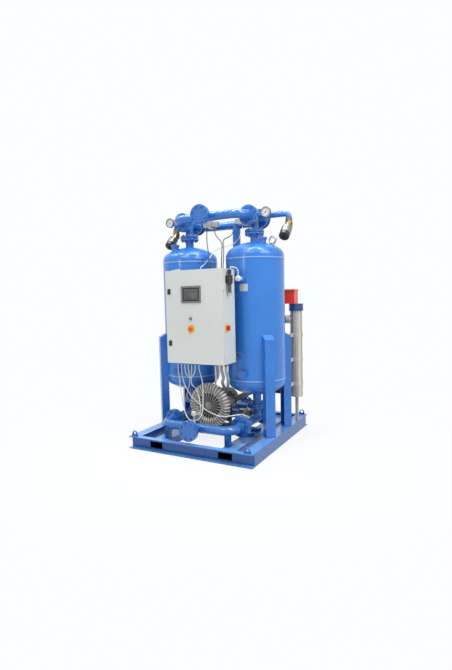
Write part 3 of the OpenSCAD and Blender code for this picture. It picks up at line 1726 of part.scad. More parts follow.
module signal_cables() {
  color(WHITE) {
    for (route = signal_routes) swept_tube(smooth(route), signal_r);
    swept_tube(smooth(feed_route), feed_r);
    swept_tube(smooth(tube_route), tube_r);
  }
}

module motor_conduits() {
  color(GREY) for (route = conduit_routes) swept_tube(smooth(route), conduit_r, 12);
}

module valve_cables() {
  color(DARK) for (route = valve_routes) swept_tube(smooth(route), valve_cable_r);
}

end_beams();
side_beams();
fork_tubes();
lifting_lugs();
skid_brackets();
left_vessel();
right_vessel();
vessel_legs();
desiccant_beds();
vessel_caps();
lifting_eyes();
bottom_header();
top_header();
blind_flanges();
bottom_tees();
top_tees();
lower_rear_header();
upper_rear_header();
flange_gaskets();
flange_bolts();
inlet_shuttle();
outlet_shuttle();
valve_bodies();
left_exhaust_disc();
right_exhaust_disc();
left_regen_disc();
right_regen_disc();
valve_actuators();
purge_valve_bodies();
purge_actuators();
purge_caps();
gauge_cases();
left_gauge_pointer();
right_gauge_pointer();
cabinet_box();
cabinet_door();
operator_panel();
push_button();
stop_button();
upper_lock();
lower_lock();
switch_plate();
switch_knob();
control_gear();
cable_glands();
mounting_rails();
filter_regulator();
regulator_knob();
blower_housing();
blower_rotor();
blower_motor();
blower_pipe();
heater_shell();
heater_rods();
terminal_box();
heater_brackets();
temperature_sensors();
signal_cables();
motor_conduits();
valve_cables();
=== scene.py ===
# %% [markdown]
# # A twin-tower air dryer, dressed
# The CAD model already holds every size of this machine: two blue pressure vessels on a
# skid, the pipework that joins them, a control cabinet, a blower and a heater. This lesson
# loads that model as a fixed frame and gives it its looks: paint, bare metal, plastic,
# cables and the small fittings that are thinner than a solid model cares about.

# %% Load the frame
import json
import math

import bmesh
import bpy
from mathutils import Matrix, Vector


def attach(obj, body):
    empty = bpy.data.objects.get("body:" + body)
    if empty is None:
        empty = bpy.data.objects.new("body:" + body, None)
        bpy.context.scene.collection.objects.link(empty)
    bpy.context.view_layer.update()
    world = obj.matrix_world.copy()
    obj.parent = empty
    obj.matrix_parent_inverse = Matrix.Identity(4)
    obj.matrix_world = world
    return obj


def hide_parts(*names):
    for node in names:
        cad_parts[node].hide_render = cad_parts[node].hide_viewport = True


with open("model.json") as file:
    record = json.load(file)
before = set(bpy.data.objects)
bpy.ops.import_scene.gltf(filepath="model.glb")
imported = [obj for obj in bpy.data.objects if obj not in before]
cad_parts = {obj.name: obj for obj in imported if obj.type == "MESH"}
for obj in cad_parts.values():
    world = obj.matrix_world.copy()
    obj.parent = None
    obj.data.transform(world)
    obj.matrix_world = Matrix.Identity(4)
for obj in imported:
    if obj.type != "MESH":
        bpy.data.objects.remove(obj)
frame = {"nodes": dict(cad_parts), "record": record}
nodes = frame["nodes"]
scene = bpy.context.scene
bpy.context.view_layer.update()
MM = 0.001

# %% [markdown]
# ## The camera
# The photograph was taken at eye height, a few steps to the right of the machine. The place,
# the three turns and the lens below were solved from corners whose real positions are known,
# such as the skid's, so the model falls on the picture without any fitting afterwards.

# %% Camera
IMAGE_W, IMAGE_H = 452, 670
FOCAL_PX = 450.0
SENSOR_MM = 36.0
EYE = Vector((2.3319, -4.2662, 1.4996))
YAW, PITCH, ROLL = 0.49219692, 0.0796632, -0.0222151


def camera_axes(yaw, pitch, roll):
    right = Vector((math.cos(yaw), math.sin(yaw), 0))
    forward = Vector((-math.sin(yaw) * math.cos(pitch), math.cos(yaw) * math.cos(pitch), -math.sin(pitch)))
    up = right.cross(forward)
    c, s = math.cos(roll), math.sin(roll)
    return c * right + s * up, c * up - s * right, -forward


camera_data = bpy.data.cameras.new("eye")
camera_data.sensor_width = SENSOR_MM
camera_data.lens = FOCAL_PX / max(IMAGE_W, IMAGE_H) * SENSOR_MM
camera = bpy.data.objects.new("eye", camera_data)
scene.collection.objects.link(camera)
axes = camera_axes(YAW, PITCH, ROLL)
camera.matrix_world = Matrix.Translation(EYE) @ Matrix([list(a) for a in axes]).transposed().to_4x4()
scene.camera = camera
print("lens", round(camera_data.lens, 2), "mm")

# %% [markdown]
# ## Finishes: the shared effects
# Paint, cast metal, bare steel and plastic share a few effects: a fine unevenness of the
# surface, a slow drift of colour, and rubbed edges that also carry a painted highlight. Each
# effect is a node group that is built once, with inputs for its size and strength, and every
# material places it with its own values. All of them read the object's own coordinates, so a
# finish stays on its piece.

# %% Small node helpers


def set_or_link(tree, socket, value):
    if isinstance(value, (int, float)):
        socket.default_value = value
    elif isinstance(value, tuple):
        socket.default_value = (*value, 1) if len(value) == 3 else value
    else:
        tree.links.new(value, socket)


def maths(tree, operation, a, b=None):
    node = tree.nodes.new("ShaderNodeMath")
    node.operation = operation
    for socket, value in zip(node.inputs, (a, b)):
        if value is not None:
            set_or_link(tree, socket, value)
    return node.outputs["Value"]


def ramp(tree, value, low, high, to_low=0.0, to_high=1.0, kind="LINEAR"):
    node = tree.nodes.new("ShaderNodeMapRange")
    node.interpolation_type = kind
    for label, amount in (("From Min", low), ("From Max", high), ("To Min", to_low), ("To Max", to_high)):
        set_or_link(tree, node.inputs[label], amount)
    tree.links.new(value, node.inputs["Value"])
    return node.outputs["Result"]


def object_point(tree):
    return tree.nodes.new("ShaderNodeTexCoord").outputs["Object"]


def split_point(tree):
    node = tree.nodes.new("ShaderNodeSeparateXYZ")
    tree.links.new(object_point(tree), node.inputs["Vector"])
    return node.outputs["X"], node.outputs["Y"], node.outputs["Z"]


def noise(tree, point, scale, detail=3.0):
    node = tree.nodes.new("ShaderNodeTexNoise")
    tree.links.new(point, node.inputs["Vector"])
    node.inputs["Detail"].default_value = detail
    set_or_link(tree, node.inputs["Scale"], scale)
    return node.outputs["Fac"]


def mix_colour(tree, mask, first, second, blend="MIX"):
    node = tree.nodes.new("ShaderNodeMix")
    node.data_type = "RGBA"
    node.blend_type = blend
    for socket, value in ((node.inputs[0], mask), (node.inputs[6], first), (node.inputs[7], second)):
        set_or_link(tree, socket, value)
    return node.outputs[2]


def grey(tree, value):
    node = tree.nodes.new("ShaderNodeCombineColor")
    for channel in ("Red", "Green", "Blue"):
        tree.links.new(value, node.inputs[channel])
    return node.outputs["Color"]


def new_group(name, inputs, outputs):
    group = bpy.data.node_groups.new(name, "ShaderNodeTree")
    for label, kind, value in inputs:
        group.interface.new_socket(label, in_out="INPUT", socket_type=kind).default_value = value
    for label, kind in outputs:
        group.interface.new_socket(label, in_out="OUTPUT", socket_type=kind)
    return group, group.nodes.new("NodeGroupInput"), group.nodes.new("NodeGroupOutput")


NUMBER, COLOUR = "NodeSocketFloat", "NodeSocketColor"
print("helpers ready")

# %% [markdown]
# The coat is the first effect. A sprayed coat is never one even tone: it drifts a little over
# a hand's width, its gloss changes in patches, and its skin has a fine peel that breaks up
# the reflections. The group puts out a colour, a roughness and a height for each of these.

# %% Uneven coat
coat_group, start, end = new_group(
    "uneven_coat",
    [("Color", COLOUR, (0.5, 0.5, 0.5, 1)), ("Drift", NUMBER, 0.12), ("Drift Scale", NUMBER, 4.0),
     ("Grain Scale", NUMBER, 400.0), ("Rough Low", NUMBER, 0.3), ("Rough High", NUMBER, 0.45)],
    [("Color", COLOUR), ("Roughness", NUMBER), ("Height", NUMBER)],
)
place = object_point(coat_group)
darkest = maths(coat_group, "SUBTRACT", 1.0, start.outputs["Drift"])
tone = ramp(coat_group, noise(coat_group, place, start.outputs["Drift Scale"]), 0.32, 0.68, darkest, 1.0)
tinted = mix_colour(coat_group, 1.0, start.outputs["Color"], grey(coat_group, tone), "MULTIPLY")
coat_group.links.new(tinted, end.inputs["Color"])
gloss = ramp(coat_group, noise(coat_group, place, 11.0, 4.0), 0.32, 0.68,
             start.outputs["Rough Low"], start.outputs["Rough High"])
coat_group.links.new(gloss, end.inputs["Roughness"])
coat_group.links.new(noise(coat_group, place, start.outputs["Grain Scale"], 2.0), end.inputs["Height"])
print("group:", coat_group.name)

# %% [markdown]
# The second effect finds edges. Where a softened normal leaves the true one, the surface
# bends sharply, and there the colour is mixed toward a lighter edge tone: partly a thinner,
# rubbed coat, partly a painted highlight where the edge catches more light. A noise breaks the
# mask up, so that no edge is rubbed along its whole length.

# %% Rubbed edges with painted highlight
edge_wear_and_highlight_group, start, end = new_group(
    "rubbed_and_highlit_edges", [("Width", NUMBER, 0.004), ("Amount", NUMBER, 0.5)], [("Mask", NUMBER)])
soft = edge_wear_and_highlight_group.nodes.new("ShaderNodeBevel")
soft.samples = 4
edge_wear_and_highlight_group.links.new(start.outputs["Width"], soft.inputs["Radius"])
true_normal = edge_wear_and_highlight_group.nodes.new("ShaderNodeNewGeometry")
agree = edge_wear_and_highlight_group.nodes.new("ShaderNodeVectorMath")
agree.operation = "DOT_PRODUCT"
edge_wear_and_highlight_group.links.new(soft.outputs["Normal"], agree.inputs[0])
edge_wear_and_highlight_group.links.new(true_normal.outputs["Normal"], agree.inputs[1])
bent = ramp(edge_wear_and_highlight_group, agree.outputs["Value"], 0.98, 0.8)
broken = ramp(edge_wear_and_highlight_group, noise(edge_wear_and_highlight_group, object_point(edge_wear_and_highlight_group), 60.0, 5.0), 0.35, 0.6)
edge_wear_and_highlight_group.links.new(maths(edge_wear_and_highlight_group, "MULTIPLY", maths(edge_wear_and_highlight_group, "MULTIPLY", bent, broken),
                           start.outputs["Amount"]), end.inputs["Mask"])
print("group:", edge_wear_and_highlight_group.name)

# %% [markdown]
# The third effect is a brushed grain: noise that is squeezed across the brushing direction
# and drawn out along it, as an abrasive belt leaves it on rolled sheet.

# %% Brushed grain
brush_group, start, end = new_group(
    "brushed_grain", [("Fine", NUMBER, 60.0)], [("Streak", NUMBER), ("Height", NUMBER)])
drawn_out = brush_group.nodes.new("ShaderNodeMapping")
drawn_out.inputs["Scale"].default_value = (1.0, 1.0, 0.012)
brush_group.links.new(object_point(brush_group), drawn_out.inputs["Vector"])
upright = drawn_out.outputs["Vector"]
brush_group.links.new(ramp(brush_group, noise(brush_group, upright, start.outputs["Fine"], 4.0), 0.3, 0.7),
                      end.inputs["Streak"])
brush_group.links.new(noise(brush_group, upright, 900.0, 2.0), end.inputs["Height"])
print("group:", brush_group.name)

# %% [markdown]
# The fourth effect is painted top light. Faces that look up are mixed toward a lighter blue, as
# if lit from above, so the mask follows the upward part of the normal, and a noise makes it
# patchy. This painted light is why the tops of the beams look paler than their sides.

# %% Painted top light
top_light_group, start, end = new_group("painted_top_light", [("Amount", NUMBER, 0.3)], [("Mask", NUMBER)])
faces = top_light_group.nodes.new("ShaderNodeNewGeometry")
upward = top_light_group.nodes.new("ShaderNodeSeparateXYZ")
top_light_group.links.new(faces.outputs["Normal"], upward.inputs["Vector"])
lying = ramp(top_light_group, upward.outputs["Z"], 0.55, 0.98)
patchy = ramp(top_light_group, noise(top_light_group, object_point(top_light_group), 7.0, 5.0), 0.3, 0.7, 0.7, 1.0)
top_light_group.links.new(maths(top_light_group, "MULTIPLY", maths(top_light_group, "MULTIPLY", lying, patchy),
                           start.outputs["Amount"]), end.inputs["Mask"])
print("group:", top_light_group.name)

# %% [markdown]
# ## Finishes: the materials
# A material then needs only its own colour, gloss and the strength of the effects. The
# Principled shader itself stays outside the groups, because the export reads it there.

# %% Material maker


def place_group(tree, group, **values):
    node = tree.nodes.new("ShaderNodeGroup")
    node.node_tree = group
    for label, value in values.items():
        node.inputs[label.replace("_", " ")].default_value = value
    return node


def new_material(name):
    material = bpy.data.materials.new(name)
    material.use_nodes = True
    return material, material.node_tree, material.node_tree.nodes["Principled BSDF"]


def add_bump(tree, shader, height, strength, distance):
    bump = tree.nodes.new("ShaderNodeBump")
    bump.inputs["Strength"].default_value = strength
    bump.inputs["Distance"].default_value = distance
    tree.links.new(height, bump.inputs["Height"])
    tree.links.new(bump.outputs["Normal"], shader.inputs["Normal"])


COAT_ROUGHNESS = 0.08
# The lighter blue below is what upward faces mix toward: painted top light.
TOP_LIGHT_BLUE = (0.19, 0.45, 0.90)


def coated(name, colour, rough=(0.3, 0.45), drift=0.1, drift_scale=4.0, grain=400.0, bump=0.08,
           metallic=0.0, coat=0.0, edge=None, edge_width=0.004, edge_amount=0.5, depth=0.0004, top_sheen=0.0,
           paint_over=None):
    """A coat on a base; paint_over(tree, colour) may add a pattern that only this material has."""
    material, tree, shader = new_material(name)
    skin = place_group(tree, coat_group, Color=(*colour, 1), Drift=drift, Drift_Scale=drift_scale,
                       Grain_Scale=grain, Rough_Low=rough[0], Rough_High=rough[1])
    base = skin.outputs["Color"]
    # Edges mix toward the lighter edge colour: partly wear, partly painted highlight.
    if edge:
        worn_lit_edge = place_group(tree, edge_wear_and_highlight_group, Width=edge_width, Amount=edge_amount)
        base = mix_colour(tree, worn_lit_edge.outputs["Mask"], base, edge)
    # Upward faces mix toward the lighter blue: painted top light.
    if top_sheen:
        lit_faces = place_group(tree, top_light_group, Amount=top_sheen)
        base = mix_colour(tree, lit_faces.outputs["Mask"], base, TOP_LIGHT_BLUE)
    if paint_over:
        base = paint_over(tree, base)
    tree.links.new(base, shader.inputs["Base Color"])
    tree.links.new(skin.outputs["Roughness"], shader.inputs["Roughness"])
    shader.inputs["Metallic"].default_value = metallic
    shader.inputs["Coat Weight"].default_value = coat
    shader.inputs["Coat Roughness"].default_value = COAT_ROUGHNESS
    add_bump(tree, shader, skin.outputs["Height"], bump, depth)
    return material


BLACK, HEATER_BLUE = (0.016, 0.016, 0.018), (0.014, 0.062, 0.19)
blue_paint = coated(
    "blue_enamel", (0.022, 0.150, 0.48), rough=(0.22, 0.32), drift=0.12, grain=160.0, bump=0.12,
    coat=0.5, edge=(0.10, 0.30, 0.72), edge_amount=0.6, top_sheen=0.22)
leg_paint = coated(
    "leg_enamel", (0.024, 0.175, 0.58), rough=(0.24, 0.34), drift=0.12, grain=200.0, bump=0.12,
    coat=0.3, edge=(0.12, 0.34, 0.76), edge_amount=0.6, top_sheen=0.4)
heater_paint = coated(
    "heater_enamel", HEATER_BLUE, rough=(0.25, 0.36), drift=0.14, grain=240.0, bump=0.12, coat=0.3,
    edge=(0.10, 0.24, 0.52), edge_amount=0.6)
cabinet_paint = coated(
    "cabinet_powder_coat", (0.635, 0.655, 0.625), rough=(0.42, 0.5), drift=0.03, grain=900.0, bump=0.10,
    edge=(0.80, 0.81, 0.78), edge_amount=0.5, edge_width=0.004)
bare_steel = coated(
    "bare_steel", (0.56, 0.56, 0.55), rough=(0.26, 0.42), drift=0.14, drift_scale=14.0, metallic=1.0,
    grain=600.0, bump=0.05)
dull_steel = coated("dull_steel", (0.27, 0.27, 0.255), rough=(0.3, 0.45), drift=0.25, drift_scale=18.0,
                    metallic=0.8, grain=600.0, bump=0.06)
cast_alloy = coated(
    "cast_alloy", (0.50, 0.49, 0.47), rough=(0.38, 0.55), drift=0.3, drift_scale=22.0, metallic=0.7,
    grain=700.0, bump=0.35, edge=(0.72, 0.71, 0.68), edge_amount=0.8, edge_width=0.003)
motor_paint = coated(
    "motor_enamel", (0.035, 0.038, 0.042), rough=(0.35, 0.5), drift=0.2, grain=500.0, bump=0.2,
    edge=(0.2, 0.205, 0.21), edge_amount=0.5)
black_plastic = coated("black_plastic", BLACK, rough=(0.32, 0.45), drift=0.1, grain=1500.0, bump=0.12,
                       edge=(0.07, 0.07, 0.075), edge_amount=0.5, edge_width=0.002)
white_plastic = coated(
    "white_plastic", (0.70, 0.70, 0.68), rough=(0.3, 0.42), drift=0.08, grain=1500.0, bump=0.05)
grey_plastic = coated(
    "grey_plastic", (0.40, 0.41, 0.40), rough=(0.4, 0.52), drift=0.08, grain=1500.0, bump=0.06)
brass_metal = coated(
    "cast_brass", (0.33, 0.245, 0.13), rough=(0.3, 0.5), drift=0.3, drift_scale=30.0, metallic=1.0,
    grain=700.0, bump=0.2)
red_paint = coated(
    "red_enamel", (0.88, 0.055, 0.020), rough=(0.3, 0.42), drift=0.1, grain=300.0, bump=0.08, coat=0.2,
    edge=(0.78, 0.12, 0.07), edge_amount=0.4)
red_plastic = coated(
    "red_plastic", (0.62, 0.030, 0.012), rough=(0.26, 0.36), drift=0.05, grain=1500.0, bump=0.04)
orange_plastic = coated(
    "signal_plastic", (0.74, 0.085, 0.012), rough=(0.26, 0.36), drift=0.05, grain=1500.0, bump=0.04)
yellow_plastic = coated(
    "yellow_plastic", (0.86, 0.50, 0.012), rough=(0.3, 0.4), drift=0.05, grain=1500.0, bump=0.04)
seal_sheet = coated(
    "seal_sheet", (0.03, 0.03, 0.03), rough=(0.6, 0.75), drift=0.2, grain=900.0, bump=0.2)
desiccant = coated(
    "desiccant_beads", (0.72, 0.66, 0.56), rough=(0.6, 0.75), drift=0.25, drift_scale=40.0, grain=250.0,
    bump=0.8, depth=0.002)
dull_rose = coated(
    "dull_rose_plastic", (0.30, 0.13, 0.12), rough=(0.4, 0.5), drift=0.05, grain=1500.0, bump=0.04)
print("materials:", len(bpy.data.materials))

# %% [markdown]
# Inside the two fork pockets the skid's colour gives way to painted shade: a mask on the
# tube's clear width and height leaves them almost black.

# %% Skid paint
FORK_X, FORK_Z, FORK_HALF_W, FORK_HALF_H = 0.390, 0.054, 0.075, 0.034


def pocket_shade(tree, base):
    x, _, z = split_point(tree)
    aside = maths(tree, "ABSOLUTE", maths(tree, "SUBTRACT", maths(tree, "ABSOLUTE", x), FORK_X))
    above = maths(tree, "ABSOLUTE", maths(tree, "SUBTRACT", z, FORK_Z))
    # The pockets' insides are painted shade, almost black.
    inside = maths(tree, "MULTIPLY", ramp(tree, aside, FORK_HALF_W + 0.001, FORK_HALF_W + 0.002, 1.0, 0.0),
                   ramp(tree, above, FORK_HALF_H + 0.001, FORK_HALF_H + 0.002, 1.0, 0.0))
    return mix_colour(tree, inside, base, (0.010, 0.011, 0.014))


SKID = dict(colour=(0.008, 0.100, 0.37), rough=(0.24, 0.34), drift=0.16, grain=240.0, bump=0.10, coat=0.25,
            edge=(0.10, 0.30, 0.74), edge_amount=0.5, edge_width=0.005, top_sheen=0.85)
skid_paint = coated("skid_enamel", **SKID)
fork_paint = coated("fork_enamel", paint_over=pocket_shade, **SKID)
print("materials:", skid_paint.name, fork_paint.name)

# %% [markdown]
# Each tower is welded from a rolled shell and two dished heads. The paint runs over the weld
# beads, which stand three millimetres proud: their upper side catches the light and a thin
# shade lies below them. Two bands at the seams' heights draw this on the same enamel.

# %% Weld seams
SEAMS_Z = (1.901, 0.676)


def seam_lines(tree, base):
    height = split_point(tree)[2]
    for seam in SEAMS_Z:
        above = maths(tree, "ABSOLUTE", maths(tree, "SUBTRACT", height, seam + 0.001))
        base = mix_colour(tree, ramp(tree, above, 0.003, 0.008, 0.75, 0.0), base, (0.30, 0.52, 0.88))
        below = maths(tree, "ABSOLUTE", maths(tree, "SUBTRACT", height, seam - 0.013))
        base = mix_colour(tree, ramp(tree, below, 0.002, 0.006, 0.45, 0.0), base, (0.02, 0.10, 0.36))
    return base


vessel_paint = coated(
    "vessel_enamel", (0.026, 0.190, 0.61), rough=(0.24, 0.34), drift=0.10, grain=160.0, bump=0.12,
    coat=0.25, edge=(0.13, 0.33, 0.74), edge_amount=0.4, paint_over=seam_lines)
print("material:", vessel_paint.name)

# %% [markdown]
# The heater is a clad tube: brushed stainless sheet, with a flange at its top that is painted
# dark blue. One solid carries both, so a mask on its height picks the paint. The bands that
# hold the tube are of the same sheet. The sheet's dark and pale streaks are partly its brushed
# grain and partly painted reflection.

# %% Heater cladding
FLANGE_Z = 1.355


def brushed_tube():
    material, tree, shader = new_material("brushed_cladding")
    grain = place_group(tree, brush_group, Fine=52.0)
    # Dark and pale streaks in the colour: partly brushed grain, partly painted reflection.
    grain_and_reflection = mix_colour(tree, grain.outputs["Streak"], (0.25, 0.225, 0.19), (0.72, 0.68, 0.61))
    painted = ramp(tree, split_point(tree)[2], FLANGE_Z - 0.0005, FLANGE_Z + 0.0005)
    tree.links.new(mix_colour(tree, painted, grain_and_reflection, HEATER_BLUE), shader.inputs["Base Color"])
    tree.links.new(ramp(tree, painted, 0.0, 1.0, 0.15, 0.0), shader.inputs["Metallic"])
    tree.links.new(ramp(tree, grain.outputs["Streak"], 0.0, 1.0, 0.36, 0.5), shader.inputs["Roughness"])
    add_bump(tree, shader, grain.outputs["Height"], 0.12, 0.0003)
    return material


brushed_cladding = brushed_tube()
print("material:", brushed_cladding.name)

# %% [markdown]
# The blower's casing is a die casting. Its ribs keep the casting's pale colour; painted shade
# darkens the valleys between them, where some dust lies too, and darkens the floor of the dish
# in the middle still more. The ring also turns darker toward its back. The ring's shade follows
# from how far a point lies from the circle in the middle of the side channel, and the dish's
# from its depth, so both masks are plain geometry.

# %% Blower casting
RING_R, CHANNEL_R, RING_Y, BLOWER_Z = 0.180, 0.046, -0.296, 0.407
DISH_Y = -0.316


def length_of(tree, a, b):
    squares = [maths(tree, "MULTIPLY", side, side) for side in (a, b)]
    return maths(tree, "SQRT", maths(tree, "ADD", *squares))


def casting_pattern(tree, base):
    x, y, z = split_point(tree)
    out = length_of(tree, x, maths(tree, "SUBTRACT", z, BLOWER_Z))
    along = maths(tree, "SUBTRACT", y, RING_Y)
    from_ring = length_of(tree, maths(tree, "SUBTRACT", out, RING_R), along)
    valley = ramp(tree, from_ring, CHANNEL_R + 0.0005, CHANNEL_R + 0.006, 0.34, 1.0)
    in_dish = ramp(tree, out, RING_R - CHANNEL_R - 0.006, RING_R - CHANNEL_R + 0.004, 1.0, 0.0)
    floor_or_rib = ramp(tree, y, DISH_Y - 0.009, DISH_Y - 0.003, 0.46, 0.05)
    dish = maths(tree, "ADD", maths(tree, "MULTIPLY", in_dish, floor_or_rib),
                 maths(tree, "SUBTRACT", 1.0, in_dish))
    rear = ramp(tree, along, 0.006, 0.016, 1.0, 0.35)
    # valley and dish are painted shade in the hollows; rear darkens the ring toward its back.
    shade = maths(tree, "MULTIPLY", maths(tree, "MULTIPLY", valley, dish), rear)
    return mix_colour(tree, 1.0, base, grey(tree, shade), "MULTIPLY")


blower_casting = coated(
    "blower_casting", (0.84, 0.81, 0.73), rough=(0.38, 0.55), drift=0.25, drift_scale=18.0,
    metallic=0.35, grain=700.0, bump=0.3, paint_over=casting_pattern)
print("material:", blower_casting.name)

# %% [markdown]
# The filter regulator has a black body and a smoky see-through bowl. A real bowl is hollow
# plastic; here one height mask makes it a little lighter than the body and another makes the
# drain at its foot grey, which is how it looks from a few steps away.

# %% Filter bowl
BOWL_TOP, BOWL_LOW = 1.632, 1.556


def bowl_pattern(tree, base):
    height = split_point(tree)[2]
    bowl = ramp(tree, height, BOWL_TOP, BOWL_TOP + 0.001, 1.0, 0.0)
    drain = ramp(tree, height, BOWL_LOW, BOWL_LOW + 0.002, 1.0, 0.0)
    smoky = mix_colour(tree, bowl, base, (0.07, 0.068, 0.06))
    return mix_colour(tree, drain, smoky, (0.45, 0.45, 0.44))


filter_plastic = coated("filter_plastic", BLACK, rough=(0.12, 0.24), drift=0.1, grain=1200.0, bump=0.06,
                        coat=0.4, paint_over=bowl_pattern)
panel_plastic = coated(
    "panel_frame", (0.17, 0.175, 0.175), rough=(0.4, 0.5), drift=0.05, grain=1800.0, bump=0.15,
    edge=(0.3, 0.3, 0.3), edge_width=0.003)
print("materials:", filter_plastic.name, panel_plastic.name)

# %% [markdown]
# ## Dressing the solids
# The CAD shapes are right, so most nodes only get a finish: each node's record names a slot,
# and the slot picks the material. A few nodes have a finish of their own.

# %% Finishes on the solids
FINISH = {
    "blue_paint": blue_paint, "cabinet_paint": cabinet_paint, "bare_steel": bare_steel,
    "cast_alloy": cast_alloy, "motor_paint": motor_paint, "black_plastic": black_plastic,
    "white_plastic": white_plastic, "grey_plastic": grey_plastic, "brass": brass_metal,
    "red_paint": red_paint, "red_plastic": red_plastic, "yellow_plastic": yellow_plastic,
    "seal": seal_sheet, "bead": desiccant,
}
OWN_FINISH = {
    "end_beams": skid_paint, "side_beams": skid_paint, "fork_tubes": fork_paint,
    "skid_brackets": skid_paint, "lifting_lugs": skid_paint, "flange_bolts": blue_paint,
    "heater_rods": heater_paint, "heater_shell": brushed_cladding, "heater_brackets": brushed_cladding,
    "blower_housing": blower_casting, "filter_regulator": filter_plastic, "purge_actuators": dull_steel,
    "gauge_cases": dull_steel, "operator_panel": panel_plastic, "stop_button": orange_plastic,
    "push_button": dull_rose, "left_vessel": vessel_paint, "right_vessel": vessel_paint,
    "vessel_legs": leg_paint,
}
slot_of = {row["node"]: row["material_slot"] for row in frame["record"]["subparts"]}


def dress(obj, material):
    obj.data.materials.clear()
    obj.data.materials.append(material)


for name, node in nodes.items():
    dress(node, OWN_FINISH.get(name, FINISH[slot_of[name]]))
print("dressed:", len(nodes))

# %% [markdown]
# ## Cables
# Every cable starts in a gland or on a device and ends on another one, so each is made as a
# cord whose far end goes back into the object. The routes are the ones that the solid model
# uses. Each is rounded to a smooth curve whose first and last stretch stay straight, and gets
# its real thickness as a round bevel.

# %% Cable routes
GLAND_Z, TOWER_X, PLUG_X = 858, 394, 225
SIGNAL_ROUTES = [
    [(-243, -510, GLAND_Z), (-243, -510, 815), (-205, -540, 679), (-167, -575, 572), (-115, -620, 447),
     (-67, -648, 375), (-20, -657, 336), (50, -657, 340), (97, -645, 383), (100, -610, 458),
     (67, -545, 661), (33, -520, 753), (7, -510, 815), (7, -510, GLAND_Z)],
    [(-201, -510, GLAND_Z), (-201, -510, 815), (-184, -515, 708), (-145, -530, 635), (-56, -560, 547),
     (67, -575, 464), (132, -585, 428), (274, -600, 391), (384, -560, 397), (460, -490, 400),
     (500, -420, 362), (440, -320, 318), (370, -250, 308), (310, -150, 300), (270, -40, 300),
     (240, 60, 306), (PLUG_X, 130, 322), (PLUG_X, 130, 283)],
    [(-160, -510, GLAND_Z), (-160, -510, 815), (-135, -522, 757), (-82, -532, 729), (-48, -524, 760),
     (-37, -510, 815), (-37, -510, GLAND_Z)],
    [(-78, -510, GLAND_Z), (-78, -510, 815), (-91, -505, 700), (-70, -515, 645), (-10, -540, 622),
     (44, -582, 537), (68, -602, 462), (64, -596, 415), (38, -590, 385), (10, -590, 385)],
    [(-119, -510, GLAND_Z), (-119, -510, 815), (-122, -480, 700), (-178, -420, 600), (-262, -330, 480),
     (-256, -200, 360), (-240, -40, 310), (-228, 80, 318), (-PLUG_X, 130, 322), (-PLUG_X, 130, 283)],
    [(TOWER_X, -380, 1720), (TOWER_X, -380, 1768), (380, -388, 1792), (352, -398, 1803),
     (322, -400, 1803), (322, -400, 1784)],
    [(-TOWER_X, -380, 1720), (-TOWER_X, -380, 1768), (-376, -390, 1796), (-310, -400, 1806),
     (-262, -400, 1804), (-262, -400, 1784)],
]
FEED_ROUTE = [(195, -510, GLAND_Z), (195, -510, 815), (184, -485, 740), (155, -440, 696),
              (112, -350, 676), (70, -280, 672), (36, -234, 640), (20, -230, 570), (20, -226, 525),
              (20, -196, 525)]
TUBE_ROUTE = [(PLUG_X - 15, 118, 2293), (PLUG_X - 15, 118, 2262), (214, 60, 2170), (190, 10, 2100),
              (120, 0, 2062), (40, -60, 2040), (22, -160, 2000), (14, -240, 1934), (2, -330, 1860),
              (-8, -404, 1816), (-8, -404, 1784)]
CONDUIT_ROUTES = [
    [(262, -510, GLAND_Z), (262, -510, 815), (240, -440, 745), (200, -370, 700), (150, -290, 668),
     (114, -224, 626), (116, -180, 556), (98, -172, 521), (60, -172, 521)],
    [(310, -510, GLAND_Z), (310, -510, 815), (285, -430, 735), (245, -350, 680), (195, -260, 640),
     (142, -168, 582), (100, -108, 521), (60, -108, 521)],
]
VALVE_ROUTES = [
    [(-PLUG_X - 11, 130, 2293), (-PLUG_X - 11, 130, 2262), (-165, 0, 2160), (-70, -150, 2035),
     (-2, -250, 1956), (64, -370, 1846), (98, -412, 1812), (98, -412, 1784)],
    [(75 - PLUG_X, 140, 2304), (75 - PLUG_X, 140, 2274), (-60, 20, 2180), (70, -100, 2085),
     (130, -210, 1990), (190, -330, 1880), (230, -410, 1812), (230, -410, 1784)],
    [(PLUG_X - 105, 140, 2304), (PLUG_X - 105, 140, 2274), (116, 10, 2160), (94, -100, 2112),
     (150, -206, 2002), (210, -326, 1886), (248, -410, 1812), (248, -410, 1784)],
]


def rounded(route):
    """Points on a smooth curve through a route, in metres; its first and last stretch stay straight."""
    points = [Vector(p) * MM for p in route]
    for _ in range(2 if len(points) <= 10 else 1):
        last = len(points) - 1
        finer = []
        for i in range(last):
            middle = (points[i] + points[i + 1]) / 2
            if 0 < i < last - 1:
                middle = (9 * (points[i] + points[i + 1]) - points[i - 1] - points[i + 2]) / 16
            finer += [points[i], middle]
        points = finer + [points[last]]
    return points


print("routes:", len(SIGNAL_ROUTES) + len(CONDUIT_ROUTES) + len(VALVE_ROUTES) + 2)

# %% [markdown]
# A cord is one open spline with a round bevel, running from its route's first point to its
# last.

# %% Cords
SIGNAL_R, FEED_R, TUBE_R, VALVE_R, CONDUIT_R = 5, 7, 4, 5, 15  # mm
cords = []


def make_cord(name, route, radius_mm, node, material):
    path = rounded(route)
    data = bpy.data.curves.new(name, "CURVE")
    data.dimensions = "3D"
    data.bevel_depth = radius_mm * MM
    data.bevel_resolution = 3
    data.use_fill_caps = True
    spline = data.splines.new("POLY")
    spline.points.add(len(path) - 1)
    for point, spot in zip(spline.points, path):
        point.co = (*spot, 1)
    spline.use_smooth = True
    cord = bpy.data.objects.new(name, data)
    scene.collection.objects.link(cord)
    dress(cord, material)
    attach(cord, "frame")
    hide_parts(node)
    cords.append(cord)


